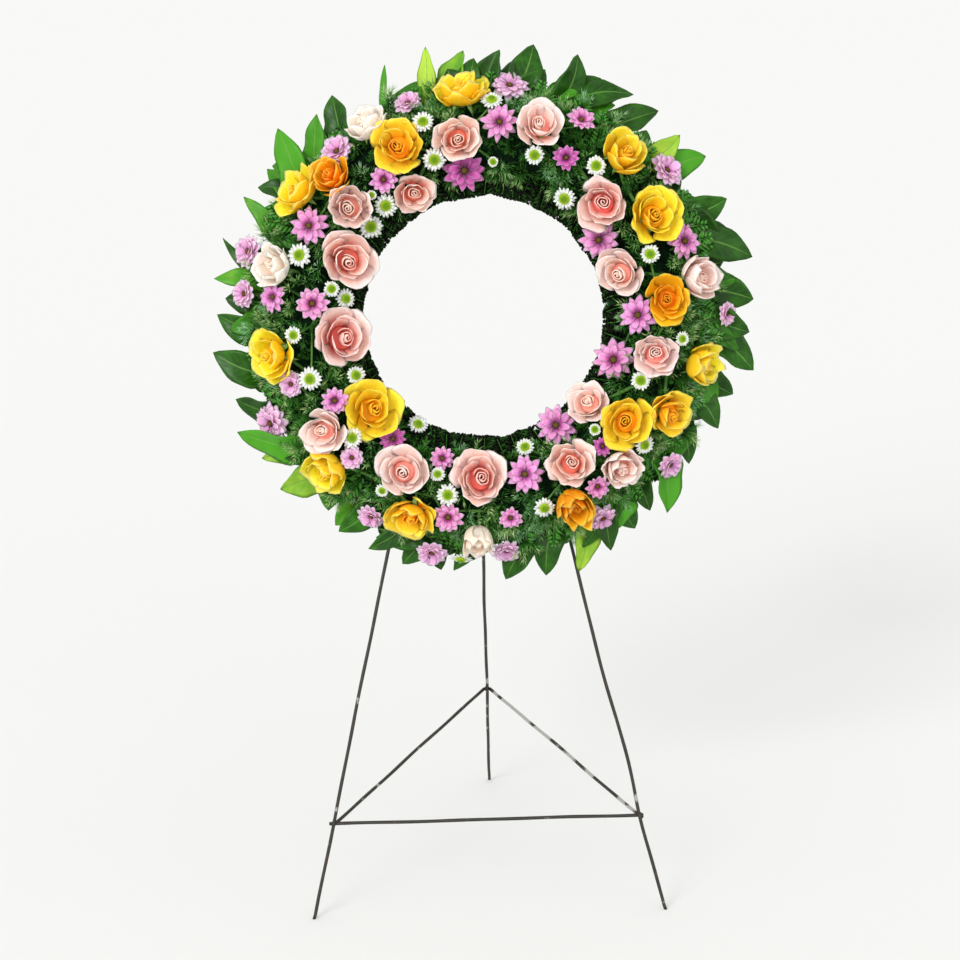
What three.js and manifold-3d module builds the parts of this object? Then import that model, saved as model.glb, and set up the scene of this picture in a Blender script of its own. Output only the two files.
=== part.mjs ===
// Standing wreath: a foam ring full of roses, daisies and greenery on a welded three-legged wire easel.
// Millimetres and degrees, +Z up, front towards -Y, origin on the floor below the middle of the whole piece.
import * as THREE from 'three';
import { mergeVertices } from 'three/addons/utils/BufferGeometryUtils.js';
import Module from 'manifold-3d';

const wasm = await Module();
wasm.setup();
const { Manifold, Mesh: SolidMesh } = wasm;
const { degToRad } = THREE.MathUtils;

// Clearance kept between two pieces that touch on the real thing
const GAP = 0.3;

// Wire easel, a standard 36-inch welded one
const WIRE = 4;
const WIRE_SIDES = 6;
const FRONT_LEAN = 10.4;
const FOOT_SPREAD = 205;
const LEG_LINES_MEET = 890.5;
const CROSSBAR_SLOPE = 111;
const LEG_LAP = 12;
const REAR_FOOT = [4, 420];
const REAR_JOINT_SHARE = 0.357;
// The rear leg bends upright this far below the hoop's lowest point and ends this far above it
const REAR_BEND_BELOW = 14;
const REAR_END_ABOVE = 10;
const BEND_BEAD = 0.62 * WIRE;
// The crossbar's ends stand past the left and the right leg, and the braces start inside and above it
const BAR_ENDS = [5, 3];
const BRACE_START = [4, 1];
const LAP = WIRE + GAP;
// Sideways distance from the rear leg's axis at which a brace's slanted end just meets that leg
const BRACE_END = 3.7;
// Small hand-made bends of the right leg: slope length from the foot, and how far it strays sideways
const RIGHT_LEG_BENDS = [[60, 0], [108, -3], [160, 2], [280, -2], [400, 0]];

// Foam ring in its plastic tray, hung on the easel's hoop
const RING_SLOPE = 697;
const RING_SHIFT = 12;
const RING_RADIUS = 200;
const RING_SEGMENTS = 24;
const FOAM_HALF_WIDTH = 32;
const FOAM_SIDE = 24;
const FOAM_SHOULDER = [20, 42];
const FOAM_CROWN = 48;
const TRAY_WALL = 1.5;
const TRAY_FLOOR = 2.5;
const TRAY_LIP = 15;
const HOOP_RADIUS = 196;
const HOOP_SEGMENTS = 24;
const CLAW_CLOCKS = [0, 120, 240];
const CLAW_TIP = 12;
const CLAW_PLAY = 0.4;

// The flower heads stand on a tube around this height over the tray's back
const TUBE_HEIGHT = 20;
const STEEPEST = 76;
// A head outside the crown leans with the tube up to this angle, one inside it by this share
const LEAN_MOST = 64;
const LEAN_INSIDE = 0.45;

// Each head's kind: its distance from the tube's axis, the share of its radius that neighbours keep
// off, how readily it moves aside, and the petals as rows from the calyx to the centre.
const KINDS = {
  rose: {
    level: 66, room: 0.95, ease: 0.3, lobes: 5, stem: 2.3,
    rows: [
      { r: 0, z: -0.7 },
      { r: 1, z: 0.06, wave: 0.06, lift: 0.04 },
      { r: 0.72, z: -0.02, wave: 0.04 },
      { r: 0.66, z: 0.32, wave: -0.08, lift: -0.03 },
      { r: 0.36, z: 0.18, wave: 0.1, lift: 0.03 },
      { r: 0, z: 0.4 },
    ],
  },
  bud: {
    level: 64, room: 0.95, ease: 0.5, lobes: 5, stem: 2.2,
    rows: [
      { r: 0, z: -0.95 },
      { r: 0.5, z: -0.6 },
      { r: 0.92, z: 0.02, wave: 0.05 },
      { r: 0.86, z: 0.42, wave: 0.1, lift: 0.05 },
      { r: 0.6, z: 0.22, wave: -0.04 },
      { r: 0.44, z: 0.6, wave: -0.12, lift: -0.04 },
      { r: 0, z: 0.36 },
    ],
  },
  daisy: {
    level: 56, room: 0.82, ease: 1, lobes: 6, stem: 1.7,
    rows: [
      { r: 0, z: -0.36 },
      { r: 0.74, z: 0.08, wave: 0.28, lift: 0.05 },
      { r: 0.27, z: 0.15 },
      { r: 0, z: 0.24 },
    ],
  },
  button: {
    level: 60, room: 0.88, ease: 1.3, lobes: 5, stem: 1.6,
    rows: [
      { r: 0, z: -0.6 },
      { r: 0.9, z: 0.02, wave: 0.11 },
      { r: 0.6, z: 0.3 },
      { r: 0, z: 0.52 },
    ],
  },
};

// The florist's plan, one entry for each head: clock angle seen from the front, reach from the ring's
// centre and diameter. A node holds the heads that share one forked stem.
const PLAN = [
  { node: 'yellow_roses_1', kind: 'rose', color: 0xf6d433, heads: [[356, 257, 60], [335, 212, 58]] },
  { node: 'yellow_roses_2', kind: 'rose', color: 0xf8c928, heads: [[306, 254, 58], [314, 232, 44]] },
  { node: 'yellow_roses_3', kind: 'rose', color: 0xf6bc28, heads: [[261, 243, 58], [232, 164, 60]] },
  { node: 'yellow_roses_4', kind: 'rose', color: 0xf6b52b, heads: [[227, 247, 52], [201, 241, 56]] },
  { node: 'yellow_roses_5', kind: 'rose', color: 0xf4ae28, heads: [[128, 198, 54], [156, 236, 46]] },
  {
    node: 'yellow_roses_6', kind: 'rose', color: 0xf3a422,
    heads: [[119, 238, 50], [104, 254, 50], [86, 206, 48]],
  },
  { node: 'yellow_roses_7', kind: 'rose', color: 0xf8be2a, heads: [[61, 222, 60], [42, 239, 52]] },
  { node: 'pink_roses_1', kind: 'rose', color: 0xe9a49b, heads: [[353, 199, 48], [332, 156, 44]] },
  { node: 'pink_roses_2', kind: 'rose', color: 0xf0b9ac, heads: [[18, 223, 52], [48, 181, 55]] },
  { node: 'pink_roses_3', kind: 'rose', color: 0xeeb0a4, heads: [[311, 194, 46], [294, 162, 58]] },
  { node: 'pink_roses_4', kind: 'rose', color: 0xeaa197, heads: [[263, 158, 60], [236, 221, 48]] },
  { node: 'pink_roses_5', kind: 'rose', color: 0xeda79c, heads: [[209, 194, 54], [183, 180, 58]] },
  { node: 'pink_roses_6', kind: 'rose', color: 0xeeaaa0, heads: [[151, 190, 50], [139, 228, 46]] },
  { node: 'pink_roses_7', kind: 'rose', color: 0xedaba0, heads: [[131, 151, 46], [104, 195, 48]] },
  { node: 'pink_roses_8', kind: 'rose', color: 0xefb1a6, heads: [[74, 158, 50], [81, 247, 48]] },
  { node: 'cream_rose_1', kind: 'rose', color: 0xf5dcc6, heads: [[330, 253, 46]] },
  { node: 'cream_rose_2', kind: 'rose', color: 0xf4d8c8, heads: [[285, 244, 46]] },
  { node: 'cream_rose_3', kind: 'bud', color: 0xf3d3b8, heads: [[183, 252, 38]] },
  { node: 'daisy_spray_1', kind: 'daisy', heads: [[8, 260, 40], [6, 217, 40], [28, 244, 36], [29, 198, 32]] },
  { node: 'daisy_spray_2', kind: 'daisy', heads: [[342, 253, 34], [354, 164, 46], [325, 188, 36]] },
  { node: 'daisy_spray_3', kind: 'daisy', heads: [[318, 241, 42], [299, 219, 42]] },
  {
    node: 'daisy_spray_4', kind: 'daisy',
    heads: [[287, 275, 40], [277, 237, 34], [277, 271, 36], [277, 188, 42]],
  },
  { node: 'daisy_spray_5', kind: 'daisy', heads: [[254, 229, 32], [241, 187, 36], [245, 270, 42]] },
  { node: 'daisy_spray_6', kind: 'daisy', heads: [[219, 170, 30], [226, 221, 30], [198, 166, 32]] },
  { node: 'daisy_spray_7', kind: 'daisy', heads: [[211, 260, 34], [194, 274, 38]] },
  { node: 'daisy_spray_8', kind: 'daisy', heads: [[176, 267, 34], [174, 227, 30], [194, 227, 40]] },
  { node: 'daisy_spray_9', kind: 'daisy', heads: [[167, 182, 42], [148, 148, 46], [139, 198, 26]] },
  { node: 'daisy_spray_10', kind: 'daisy', heads: [[148, 229, 32], [151, 266, 34], [130, 270, 34]] },
  { node: 'daisy_spray_11', kind: 'daisy', heads: [[110, 154, 46], [91, 172, 42], [58, 155, 44]] },
  { node: 'daisy_spray_12', kind: 'daisy', heads: [[71, 239, 42], [53, 263, 42], [91, 274, 30]] },
  {
    node: 'button_spray_1', kind: 'button',
    heads: [[3, 240, 26], [344, 225, 26], [344, 182, 27], [5, 172, 18]],
  },
  { node: 'button_spray_2', kind: 'button', heads: [[19, 187, 26], [39, 213, 27], [36, 159, 27]] },
  {
    node: 'button_spray_3', kind: 'button',
    heads: [[320, 165, 27], [310, 161, 28], [319, 184, 16], [290, 216, 28]],
  },
  {
    node: 'button_spray_4', kind: 'button',
    heads: [[281, 176, 22], [279, 156, 23], [266, 213, 23], [252, 208, 27]],
  },
  { node: 'button_spray_5', kind: 'button', heads: [[247, 158, 25], [229, 199, 25], [213, 143, 24]] },
  {
    node: 'button_spray_6', kind: 'button',
    heads: [[198, 183, 20], [193, 208, 26], [187, 276, 26], [212, 225, 19]],
  },
  {
    node: 'button_spray_7', kind: 'button',
    heads: [[164, 154, 24], [164, 224, 25], [137, 177, 20], [130, 227, 24]],
  },
  { node: 'button_spray_8', kind: 'button', heads: [[113, 189, 26], [98, 222, 20], [71, 197, 26]] },
];
const KIND_COLORS = { daisy: 0xc77fc4, button: 0xdfe8c0 };

// Lemon leaves round the border: clock angle of the tip, reach of the tip and width, five leafy stems
const LEAF_STEMS = [
  [[340, 306, 12], [349, 310, 22], [357, 302, 34], [5, 300, 32], [12, 313, 42], [22, 312, 44], [28, 300, 36],
    [35, 304, 36]],
  [[42, 306, 36], [49, 301, 32], [56, 312, 36], [66, 305, 40], [73, 300, 34], [79, 312, 42], [88, 309, 42],
    [95, 302, 40], [103, 314, 44]],
  [[109, 300, 36], [117, 296, 34], [127, 292, 28], [138, 308, 38], [146, 300, 36], [153, 304, 30],
    [161, 314, 30], [168, 304, 36]],
  [[177, 304, 36], [188, 292, 24], [200, 300, 34], [208, 296, 26], [217, 294, 30], [231, 305, 42],
    [239, 302, 28], [246, 312, 42]],
  [[253, 300, 36], [264, 310, 40], [272, 304, 34], [280, 308, 26], [288, 312, 14], [298, 303, 22],
    [306, 298, 28], [314, 314, 36], [327, 304, 36]],
];
const LEAF_LANE = [239, 14];
// Where a leafy stem comes out of the foam: clock angle before its lane's start, reach and height
const LEAF_ENTRY = [[4, 214, 24], [3, 234, 20]];
const LEAF_LEAN = 7;
const LANE_MARGINS = [3, 4];
const LEAF_THICKNESS = 1.5;
const LEAF_ARCH = 0.07;
const LEAF_FOLD = 0.22;
const LEAF_NECK = 1.6;
const LEAF_LIFTS = [-6, 12];

// Fern: branches that run round the ring's inner and outer flank, and tufts of needles that stand off
// them. An entry has the flank's angle on the tube, the first clock angle, the arc and the tuft count.
const FERN_BRANCHES = [
  ...[6, 78, 150, 222, 294].map((from, i) => (
    { node: `fern_inner_${i + 1}`, flank: -84, from, arc: 62, tufts: 4 }
  )),
  ...[10, 130, 250].map((from, i) => (
    { node: `fern_outer_${i + 1}`, flank: 76, from, arc: 104, tufts: 5 }
  )),
];
const FERN_LEVEL = 38;
const TWIG_RADIUS = 1.2;
const TUFT_RADIUS = 19;
const TUFT_LEVEL = 50;
const TUFT_CORE = 0.36;
const TUFT_BARE = 0.08;

// Stems inside the foam stand on this level of the tube, nearer its crown than the part outside
const FOOT_LEVEL = 13;
const FOOT_SHARE = 0.8;
const FERN_FOOT = [5, 17];
const FORK_LEVEL = 36.5;
const FORK_SHARE = 0.75;
const FORK_MOST = 66;
const BRANCH_SHARE = 0.9;

// One seeded stream of numbers from 0 to 1 serves every small irregularity
function randomStream(seed) {
  let state = seed;
  return () => {
    state = (state + 0x6d2b79f5) | 0;
    let mixed = Math.imul(state ^ (state >>> 15), 1 | state);
    mixed = (mixed + Math.imul(mixed ^ (mixed >>> 7), 61 | mixed)) ^ mixed;
    return ((mixed ^ (mixed >>> 14)) >>> 0) / 4294967296;
  };
}
const random = randomStream(2611);
const spread = (middle, half) => middle + (random() * 2 - 1) * half;

// Point in the ring's own frame: x to the right, y up the slope, z forward from the tray's back
function ringPoint(clock, reach, height) {
  const angle = degToRad(clock);
  return new THREE.Vector3(reach * Math.sin(angle), reach * Math.cos(angle), height);
}

// Point on the flower tube: clock angle, angle across the tube from its crown, distance from its axis
function tubePoint(clock, flank, level) {
  const side = degToRad(flank);
  return ringPoint(clock, RING_RADIUS + level * Math.sin(side), TUBE_HEIGHT + level * Math.cos(side));
}

// Closed solid from a geometry, its doubled points joined and its empty faces left out
function solidOf(geometry) {
  const bare = geometry.clone();
  bare.deleteAttribute('normal');
  bare.deleteAttribute('uv');
  const welded = mergeVertices(bare, 1e-4);
  const points = welded.attributes.position.array;
  const faces = [];
  let volume = 0;
  const corner = [new THREE.Vector3(), new THREE.Vector3(), new THREE.Vector3()];
  for (let i = 0; i < welded.index.count; i += 3) {
    const face = [0, 1, 2].map((k) => welded.index.getX(i + k));
    if (face[0] === face[1] || face[1] === face[2] || face[2] === face[0]) continue;
    faces.push(face);
    face.forEach((point, k) => corner[k].fromArray(points, 3 * point));
    volume += corner[0].dot(corner[1].clone().cross(corner[2]));
  }
  const outward = volume < 0 ? faces.map(([a, b, c]) => [a, c, b]) : faces;
  return new Manifold(new SolidMesh({
    numProp: 3,
    vertProperties: new Float32Array(points),
    triVerts: new Uint32Array(outward.flat()),
  }));
}

function geometryOf(solid) {
  const mesh = solid.getMesh();
  const geometry = new THREE.BufferGeometry();
  geometry.setAttribute('position', new THREE.BufferAttribute(mesh.vertProperties, 3));
  geometry.setIndex(new THREE.BufferAttribute(mesh.triVerts, 1));
  geometry.computeVertexNormals();
  return geometry;
}

// Round section carried along a curve
function sweep(curve, radius, sides, steps) {
  const section = new THREE.Shape();
  for (let i = 0; i < sides; i += 1) {
    const angle = (2 * Math.PI * i) / sides;
    const place = [radius * Math.cos(angle), radius * Math.sin(angle)];
    if (i === 0) section.moveTo(...place);
    else section.lineTo(...place);
  }
  section.closePath();
  return solidOf(new THREE.ExtrudeGeometry(section, {
    steps,
    bevelEnabled: false,
    extrudePath: curve,
  }));
}
const rod = (from, to, radius, sides) => sweep(new THREE.LineCurve3(from, to), radius, sides, 1);

// True when two solids share space
function clash(a, b) {
  const first = a.boundingBox();
  const second = b.boundingBox();
  for (let k = 0; k < 3; k += 1) {
    if (first.min[k] > second.max[k] || second.min[k] > first.max[k]) return false;
  }
  const common = a.intersect(b);
  const met = common.volume() > 1e-4;
  common.delete();
  return met;
}

// Part of the whole that a solid must keep clear of: every placed solid of another node
const placed = [];
const place = (node, solid) => placed.push({ node, solid });
const clashes = (node, solid) => placed.filter((one) => one.node !== node && clash(one.solid, solid)).length;

// Heads: a lathe turned from the calyx to the centre, its rows pulled out and lifted into petals
function headGeometry(kind, radius, spin) {
  const { rows, lobes } = KINDS[kind];
  const sides = 2 * lobes;
  const geometry = new THREE.LatheGeometry(rows.map(({ r, z }) => new THREE.Vector2(r, z)), sides);
  const position = geometry.attributes.position;
  for (let i = 0; i < position.count; i += 1) {
    const { r, z, wave = 0, lift = 0 } = rows[i % rows.length];
    const side = Math.floor(i / rows.length) % sides;
    const tip = side % 2 === 0 ? 1 : -1;
    const angle = (2 * Math.PI * side) / sides + spin;
    const reach = radius * (r + wave * tip * (r > 0 ? 1 : 0));
    position.setXYZ(i, reach * Math.cos(angle), reach * Math.sin(angle), radius * (z + lift * tip));
  }
  return geometry;
}

// How far a head leans off the ring's normal: with the tube outside, half as much inside
const facing = (flank) => (flank > 0 ? Math.min(flank, LEAN_MOST) : LEAN_INSIDE * flank);

// A head's place follows from its clock angle and reach; past the tube's side it stands level
function settleOnTube(head) {
  const { level } = KINDS[head.kind];
  const reach = Math.hypot(head.x, head.y);
  const steepest = Math.sin(degToRad(STEEPEST));
  const side = THREE.MathUtils.clamp((reach - RING_RADIUS) / level, -steepest, steepest);
  head.flank = THREE.MathUtils.radToDeg(Math.asin(side));
  head.clock = THREE.MathUtils.radToDeg(Math.atan2(head.x, head.y));
  head.reach = reach;
  head.height = TUBE_HEIGHT + level * Math.sqrt(1 - side * side);
}

const heads = PLAN.flatMap((group) => group.heads.map(([clock, reach, diameter]) => {
  const at = ringPoint(clock, reach, 0);
  const head = { node: group.node, kind: group.kind, x: at.x, y: at.y, radius: diameter / 2 };
  settleOnTube(head);
  return head;
}));

// Neighbours that stand too close are moved apart a little, round after round, as petals press
const EASE_ROUNDS = 150;
for (let round = 0; round < EASE_ROUNDS; round += 1) {
  for (let i = 0; i < heads.length; i += 1) {
    for (let j = i + 1; j < heads.length; j += 1) {
      const a = heads[i];
      const b = heads[j];
      const dx = b.x - a.x;
      const dy = b.y - a.y;
      const apart = Math.hypot(dx, dy, b.height - a.height);
      const need = a.radius * KINDS[a.kind].room + b.radius * KINDS[b.kind].room;
      if (apart >= need) continue;
      const push = (0.5 * (need - apart)) / Math.max(Math.hypot(dx, dy), 1);
      const share = KINDS[a.kind].ease / (KINDS[a.kind].ease + KINDS[b.kind].ease);
      a.x -= dx * push * share;
      a.y -= dy * push * share;
      b.x += dx * push * (1 - share);
      b.y += dy * push * (1 - share);
      settleOnTube(a);
      settleOnTube(b);
    }
  }
}

// A head's solid, and the point and direction of its calyx
const SHRINK = 0.96;
const MOST_SHRINKS = 9;
heads.forEach((head) => {
  head.center = ringPoint(head.clock, head.reach, head.height);
  const tilt = degToRad(facing(head.flank));
  head.axis = ringPoint(head.clock, Math.sin(tilt), Math.cos(tilt));
  head.spin = random() * 2 * Math.PI;
  const turn = new THREE.Quaternion().setFromUnitVectors(new THREE.Vector3(0, 0, 1), head.axis);
  const stand = new THREE.Matrix4().compose(head.center, turn, new THREE.Vector3(1, 1, 1));
  for (let tries = 0; tries <= MOST_SHRINKS; tries += 1) {
    const grown = solidOf(headGeometry(head.kind, head.radius + GAP, head.spin).applyMatrix4(stand));
    const blocked = clashes(head.node, grown);
    grown.delete();
    if (!blocked) break;
    head.radius *= SHRINK;
  }
  head.solid = solidOf(headGeometry(head.kind, head.radius, head.spin).applyMatrix4(stand));
  place(head.node, head.solid);
});

// Point inside a head's calyx where its stem ends, behind the calyx face that looks towards the stem
const CALYX_SHARE = 0.62;
const CALYX_REACH = 5;
const CALYX_INSET = 0.6;
const CALYX_DEPTH = 1;
function calyxPoint(head, from) {
  const { rows, lobes } = KINDS[head.kind];
  const turn = new THREE.Quaternion().setFromUnitVectors(new THREE.Vector3(0, 0, 1), head.axis);
  const towards = from.clone().sub(head.center).applyQuaternion(turn.clone().invert());
  const faceAngle = Math.PI / lobes;
  const looks = Math.atan2(towards.y, towards.x) - head.spin;
  const angle = (Math.floor(looks / faceAngle) + 0.5) * faceAngle + head.spin;
  const share = Math.min(CALYX_SHARE, CALYX_REACH / (rows[1].r * head.radius));
  const reach = rows[1].r * share * CALYX_INSET * head.radius;
  const height = THREE.MathUtils.lerp(rows[0].z, rows[1].z, share) * head.radius + CALYX_DEPTH;
  return new THREE.Vector3(reach * Math.cos(angle), reach * Math.sin(angle), height)
    .applyQuaternion(turn).add(head.center);
}

// A stem's line through its stops, one straight piece from stop to stop
class StemLine extends THREE.Curve {
  constructor(stops) {
    super();
    this.stops = stops;
  }

  getPoint(share, target = new THREE.Vector3()) {
    const place = THREE.MathUtils.clamp(share, 0, 1) * (this.stops.length - 1);
    const from = Math.min(Math.floor(place), this.stops.length - 2);
    return target.lerpVectors(this.stops[from], this.stops[from + 1], place - from);
  }

  getPointAt(share, target) {
    return this.getPoint(share, target);
  }

  getTangentAt(share, target) {
    return this.getTangent(share, target);
  }
}
const stemAlong = (stops, radius) => sweep(new StemLine(stops), radius, 3, stops.length - 1);

const nodes = new Map();
const note = (node, pieces) => nodes.set(node, [...(nodes.get(node) ?? []), ...pieces]);
const foamCuts = [];
const LANE_STEP = 10;
const LEAF_STEM_RADIUS = 1.9;
const FERN_STEM_RADIUS = 1.5;

// Branches that run round the ring, from a foot pushed into the foam out to their lane
function laneStops(lane, from, arc) {
  const steps = Math.round(arc / LANE_STEP);
  return Array.from({ length: steps + 1 }, (_, i) => lane(from + (arc * i) / steps));
}
function layBranch(node, stops, radius) {
  const stem = stemAlong(stops, radius);
  foamCuts.push(stemAlong(stops, radius + 2 * GAP));
  note(node, [stem]);
  place(node, stem);
}

const leafLane = (clock) => ringPoint(clock, LEAF_LANE[0], LEAF_LANE[1]);
const leafStems = LEAF_STEMS.map((leaves, i) => {
  const node = `lemon_leaf_stem_${i + 1}`;
  const [before, past] = LANE_MARGINS;
  const first = leaves[0][0] - LEAF_LEAN - before;
  const arc = ((leaves.at(-1)[0] - leaves[0][0] + 360) % 360) + past;
  const entry = LEAF_ENTRY.map(([back, reach, height]) => ringPoint(first - back, reach, height));
  layBranch(node, [...entry, ...laneStops(leafLane, first, arc)], LEAF_STEM_RADIUS);
  return { node, leaves, first, arc };
});

FERN_BRANCHES.forEach(({ node, flank, from, arc }) => {
  const lane = (clock) => tubePoint(clock, flank, FERN_LEVEL);
  const foot = tubePoint(from - FERN_FOOT[0], flank * FOOT_SHARE, FERN_FOOT[1]);
  layBranch(node, [foot, ...laneStops(lane, from, arc)], FERN_STEM_RADIUS);
});

// A stem through its stops to a head, its last stretch bowed past what stands in its way
const BOWS = [
  [0, 0], [2.5, 0], [-2.5, 0], [0, 2], [0, -2], [5, 0], [-5, 0], [4, 3], [-4, 3], [4, -2],
  [-4, -2], [7, 0], [-7, 0], [0, 5], [7, 4], [-7, 4], [10, 1], [-10, 1], [13, 2], [-13, 2],
];
function bowedStem(node, stops, to, radius) {
  const from = stops.at(-1);
  const middle = from.clone().lerp(to, 0.5);
  const along = to.clone().sub(from).normalize();
  const aside = along.clone().cross(new THREE.Vector3(0, 0, 1)).normalize();
  const raise = aside.clone().cross(along);
  let best = null;
  for (const [sideways, upwards] of BOWS) {
    const bend = middle.clone().addScaledVector(aside, sideways).addScaledVector(raise, upwards);
    const line = sideways === 0 && upwards === 0 ? [...stops, to] : [...stops, bend, to];
    const fat = stemAlong(line, radius + 2 * GAP);
    const blocked = clashes(node, fat);
    if (!best || blocked < best.blocked) best = { blocked, line, fat };
    if (!blocked) break;
  }
  return { ...best, stem: stemAlong(best.line, radius) };
}

// Forks tried for a spray: clock, flank and height off the heads' mean
const FORKS = [];
for (const lift of [0, 2.5]) {
  for (const lean of [0, 12, -12, 24, -24]) {
    for (const shift of [0, 3, -3, 6, -6, 9, -9]) FORKS.push([shift, lean, lift]);
  }
}

function stemSpray(group) {
  const own = heads.filter((head) => head.node === group.node);
  const { stem: radius } = KINDS[group.kind];
  const mean = new THREE.Vector3();
  own.forEach((head) => mean.add(head.center));
  mean.divideScalar(own.length);
  const clock = THREE.MathUtils.radToDeg(Math.atan2(mean.x, mean.y));
  const flank = own.reduce((sum, head) => sum + head.flank, 0) / own.length;
  let best = null;
  for (const [shift, lean, lift] of FORKS) {
    const side = THREE.MathUtils.clamp(flank * FORK_SHARE + lean, -FORK_MOST, FORK_MOST);
    const foot = tubePoint(clock + shift, side * FOOT_SHARE, FOOT_LEVEL);
    const fork = tubePoint(clock + shift, side, FORK_LEVEL + lift);
    const branches = [];
    let blocked = 0;
    for (const head of own) {
      const stops = branches.length ? [fork] : [foot, fork];
      const thick = radius * (branches.length ? BRANCH_SHARE : 1);
      const branch = bowedStem(group.node, stops, calyxPoint(head, fork), thick);
      blocked += branch.blocked;
      branches.push(branch);
      if (best && blocked >= best.blocked) break;
    }
    if (best && blocked >= best.blocked) continue;
    best = { blocked, branches };
    if (!blocked) break;
  }
  foamCuts.push(...best.branches.map((branch) => branch.fat));
  best.branches.forEach(({ stem }) => place(group.node, stem));
  note(group.node, [...own.map((head) => head.solid), ...best.branches.map(({ stem }) => stem)]);
}
PLAN.forEach(stemSpray);

// Foam: a half-round ring that sits in the tray, with a plain hole for each stem
const latheRing = (profile) => {
  const points = [...profile, profile[0]].map(([reach, height]) => new THREE.Vector2(reach, height));
  return solidOf(new THREE.LatheGeometry(points, RING_SEGMENTS).rotateX(Math.PI / 2));
};
const foamFoot = TRAY_FLOOR + GAP;
const foamInner = RING_RADIUS - FOAM_HALF_WIDTH;
const foamOuter = RING_RADIUS + FOAM_HALF_WIDTH;
const [shoulder, shoulderHeight] = FOAM_SHOULDER;
const foam = latheRing([
  [foamInner, foamFoot],
  [foamOuter, foamFoot],
  [foamOuter, FOAM_SIDE],
  [RING_RADIUS + shoulder, shoulderHeight],
  [RING_RADIUS, FOAM_CROWN],
  [RING_RADIUS - shoulder, shoulderHeight],
  [foamInner, FOAM_SIDE],
]);
const lipInner = foamInner - 2 * GAP - TRAY_WALL;
const lipOuter = foamOuter + 2 * GAP + TRAY_WALL;
const tray = latheRing([
  [lipInner, 0],
  [lipOuter, 0],
  [lipOuter, TRAY_LIP],
  [lipOuter - TRAY_WALL, TRAY_LIP],
  [lipOuter - TRAY_WALL, TRAY_FLOOR],
  [lipInner + TRAY_WALL, TRAY_FLOOR],
  [lipInner + TRAY_WALL, TRAY_LIP],
  [lipInner, TRAY_LIP],
]);
// Hoop behind the tray, with three claws that reach forward inside the tray's inner lip
const hoopBack = -(WIRE / 2 + GAP);
const clawReach = lipInner - GAP - WIRE / 2 - CLAW_PLAY;
const hoop = Manifold.union([
  solidOf(new THREE.TorusGeometry(HOOP_RADIUS, WIRE / 2, WIRE_SIDES, HOOP_SEGMENTS)
    .translate(0, 0, hoopBack)),
  ...CLAW_CLOCKS.map((clock) => sweep(new StemLine([
    ringPoint(clock, HOOP_RADIUS, hoopBack),
    ringPoint(clock, clawReach, hoopBack),
    ringPoint(clock, clawReach, CLAW_TIP),
  ]), WIRE / 2, WIRE_SIDES, 2)),
]);

// Frame of the easel's front: sideways, up the slope and forward off the legs' plane
const lean = degToRad(FRONT_LEAN);
const slopePoint = (x, slope, forward) => new THREE.Vector3(
  x,
  slope * Math.sin(lean) - forward * Math.cos(lean),
  slope * Math.cos(lean) + forward * Math.sin(lean),
);
const legLine = (slope) => FOOT_SPREAD * (1 - slope / LEG_LINES_MEET);

// Slope length at which a front leg passes behind the hoop
const SLOPE_STEP = 0.5;
function meetsHoop(side) {
  let slope = RING_SLOPE - HOOP_RADIUS;
  while (Math.hypot(side * legLine(slope) - RING_SHIFT, slope - RING_SLOPE) > HOOP_RADIUS) {
    slope += SLOPE_STEP;
  }
  return slope;
}

// Foliage keeps clear of the ring, the hoop and the front legs too
const FOLIAGE_REACH = 330;
const LEG_CLEARANCE = 1;
const legsBack = hoopBack - LAP;
place('ring_tray', tray);
place('foam_ring', foam);
place('wreath_hoop', hoop);
[-1, 1].forEach((side) => {
  const [low, high] = [RING_SLOPE - FOLIAGE_REACH, meetsHoop(side) + LEG_LAP].map((slope) => (
    new THREE.Vector3(side * legLine(slope) - RING_SHIFT, slope - RING_SLOPE, legsBack)
  ));
  place('front_leg', rod(low, high, WIRE / 2 + LEG_CLEARANCE, WIRE_SIDES));
});

// A leaf: rows of left edge, rib top, right edge and rib underside between a sunk base and the tip
const LEAF_ROWS = [[0.1, 0.08], [0.4, 0.5], [0.74, 0.36]];
function leafGeometry(base, tip, width, face, wave) {
  const along = tip.clone().sub(base);
  const side = along.clone().cross(face).normalize();
  const normal = side.clone().cross(along).normalize();
  const points = [base.clone()];
  LEAF_ROWS.forEach(([share, half], row) => {
    const arch = Math.sin(Math.PI * share) * along.length() * LEAF_ARCH;
    const middle = base.clone().addScaledVector(along, share).addScaledVector(normal, arch);
    const ripple = wave * (row % 2 === 0 ? 1 : -1) * half * 2;
    const fold = LEAF_FOLD * half * width;
    const reach = Math.max(half * width, LEAF_NECK);
    const edge = (sign) => middle.clone().addScaledVector(side, sign * reach)
      .addScaledVector(normal, fold + sign * ripple);
    const thick = LEAF_THICKNESS / 2;
    points.push(
      edge(-1),
      middle.clone().addScaledVector(normal, thick),
      edge(1),
      middle.clone().addScaledVector(normal, -thick),
    );
  });
  points.push(tip.clone());
  const faces = [];
  const rows = LEAF_ROWS.length;
  for (let k = 0; k < 4; k += 1) {
    const next = (k + 1) % 4;
    faces.push([0, 1 + k, 1 + next]);
    for (let row = 0; row < rows - 1; row += 1) {
      const here = 1 + 4 * row;
      const mirrored = k === 1 || k === 2;
      const [a, b, c, d] = [here + k, here + 4 + k, here + 4 + next, here + next];
      faces.push(...(mirrored ? [[a, b, d], [b, c, d]] : [[a, b, c], [a, c, d]]));
    }
    const last = 1 + 4 * (rows - 1);
    faces.push([last + k, points.length - 1, last + next]);
  }
  const geometry = new THREE.BufferGeometry().setFromPoints(points);
  geometry.setIndex(faces.flat());
  return geometry;
}

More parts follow.
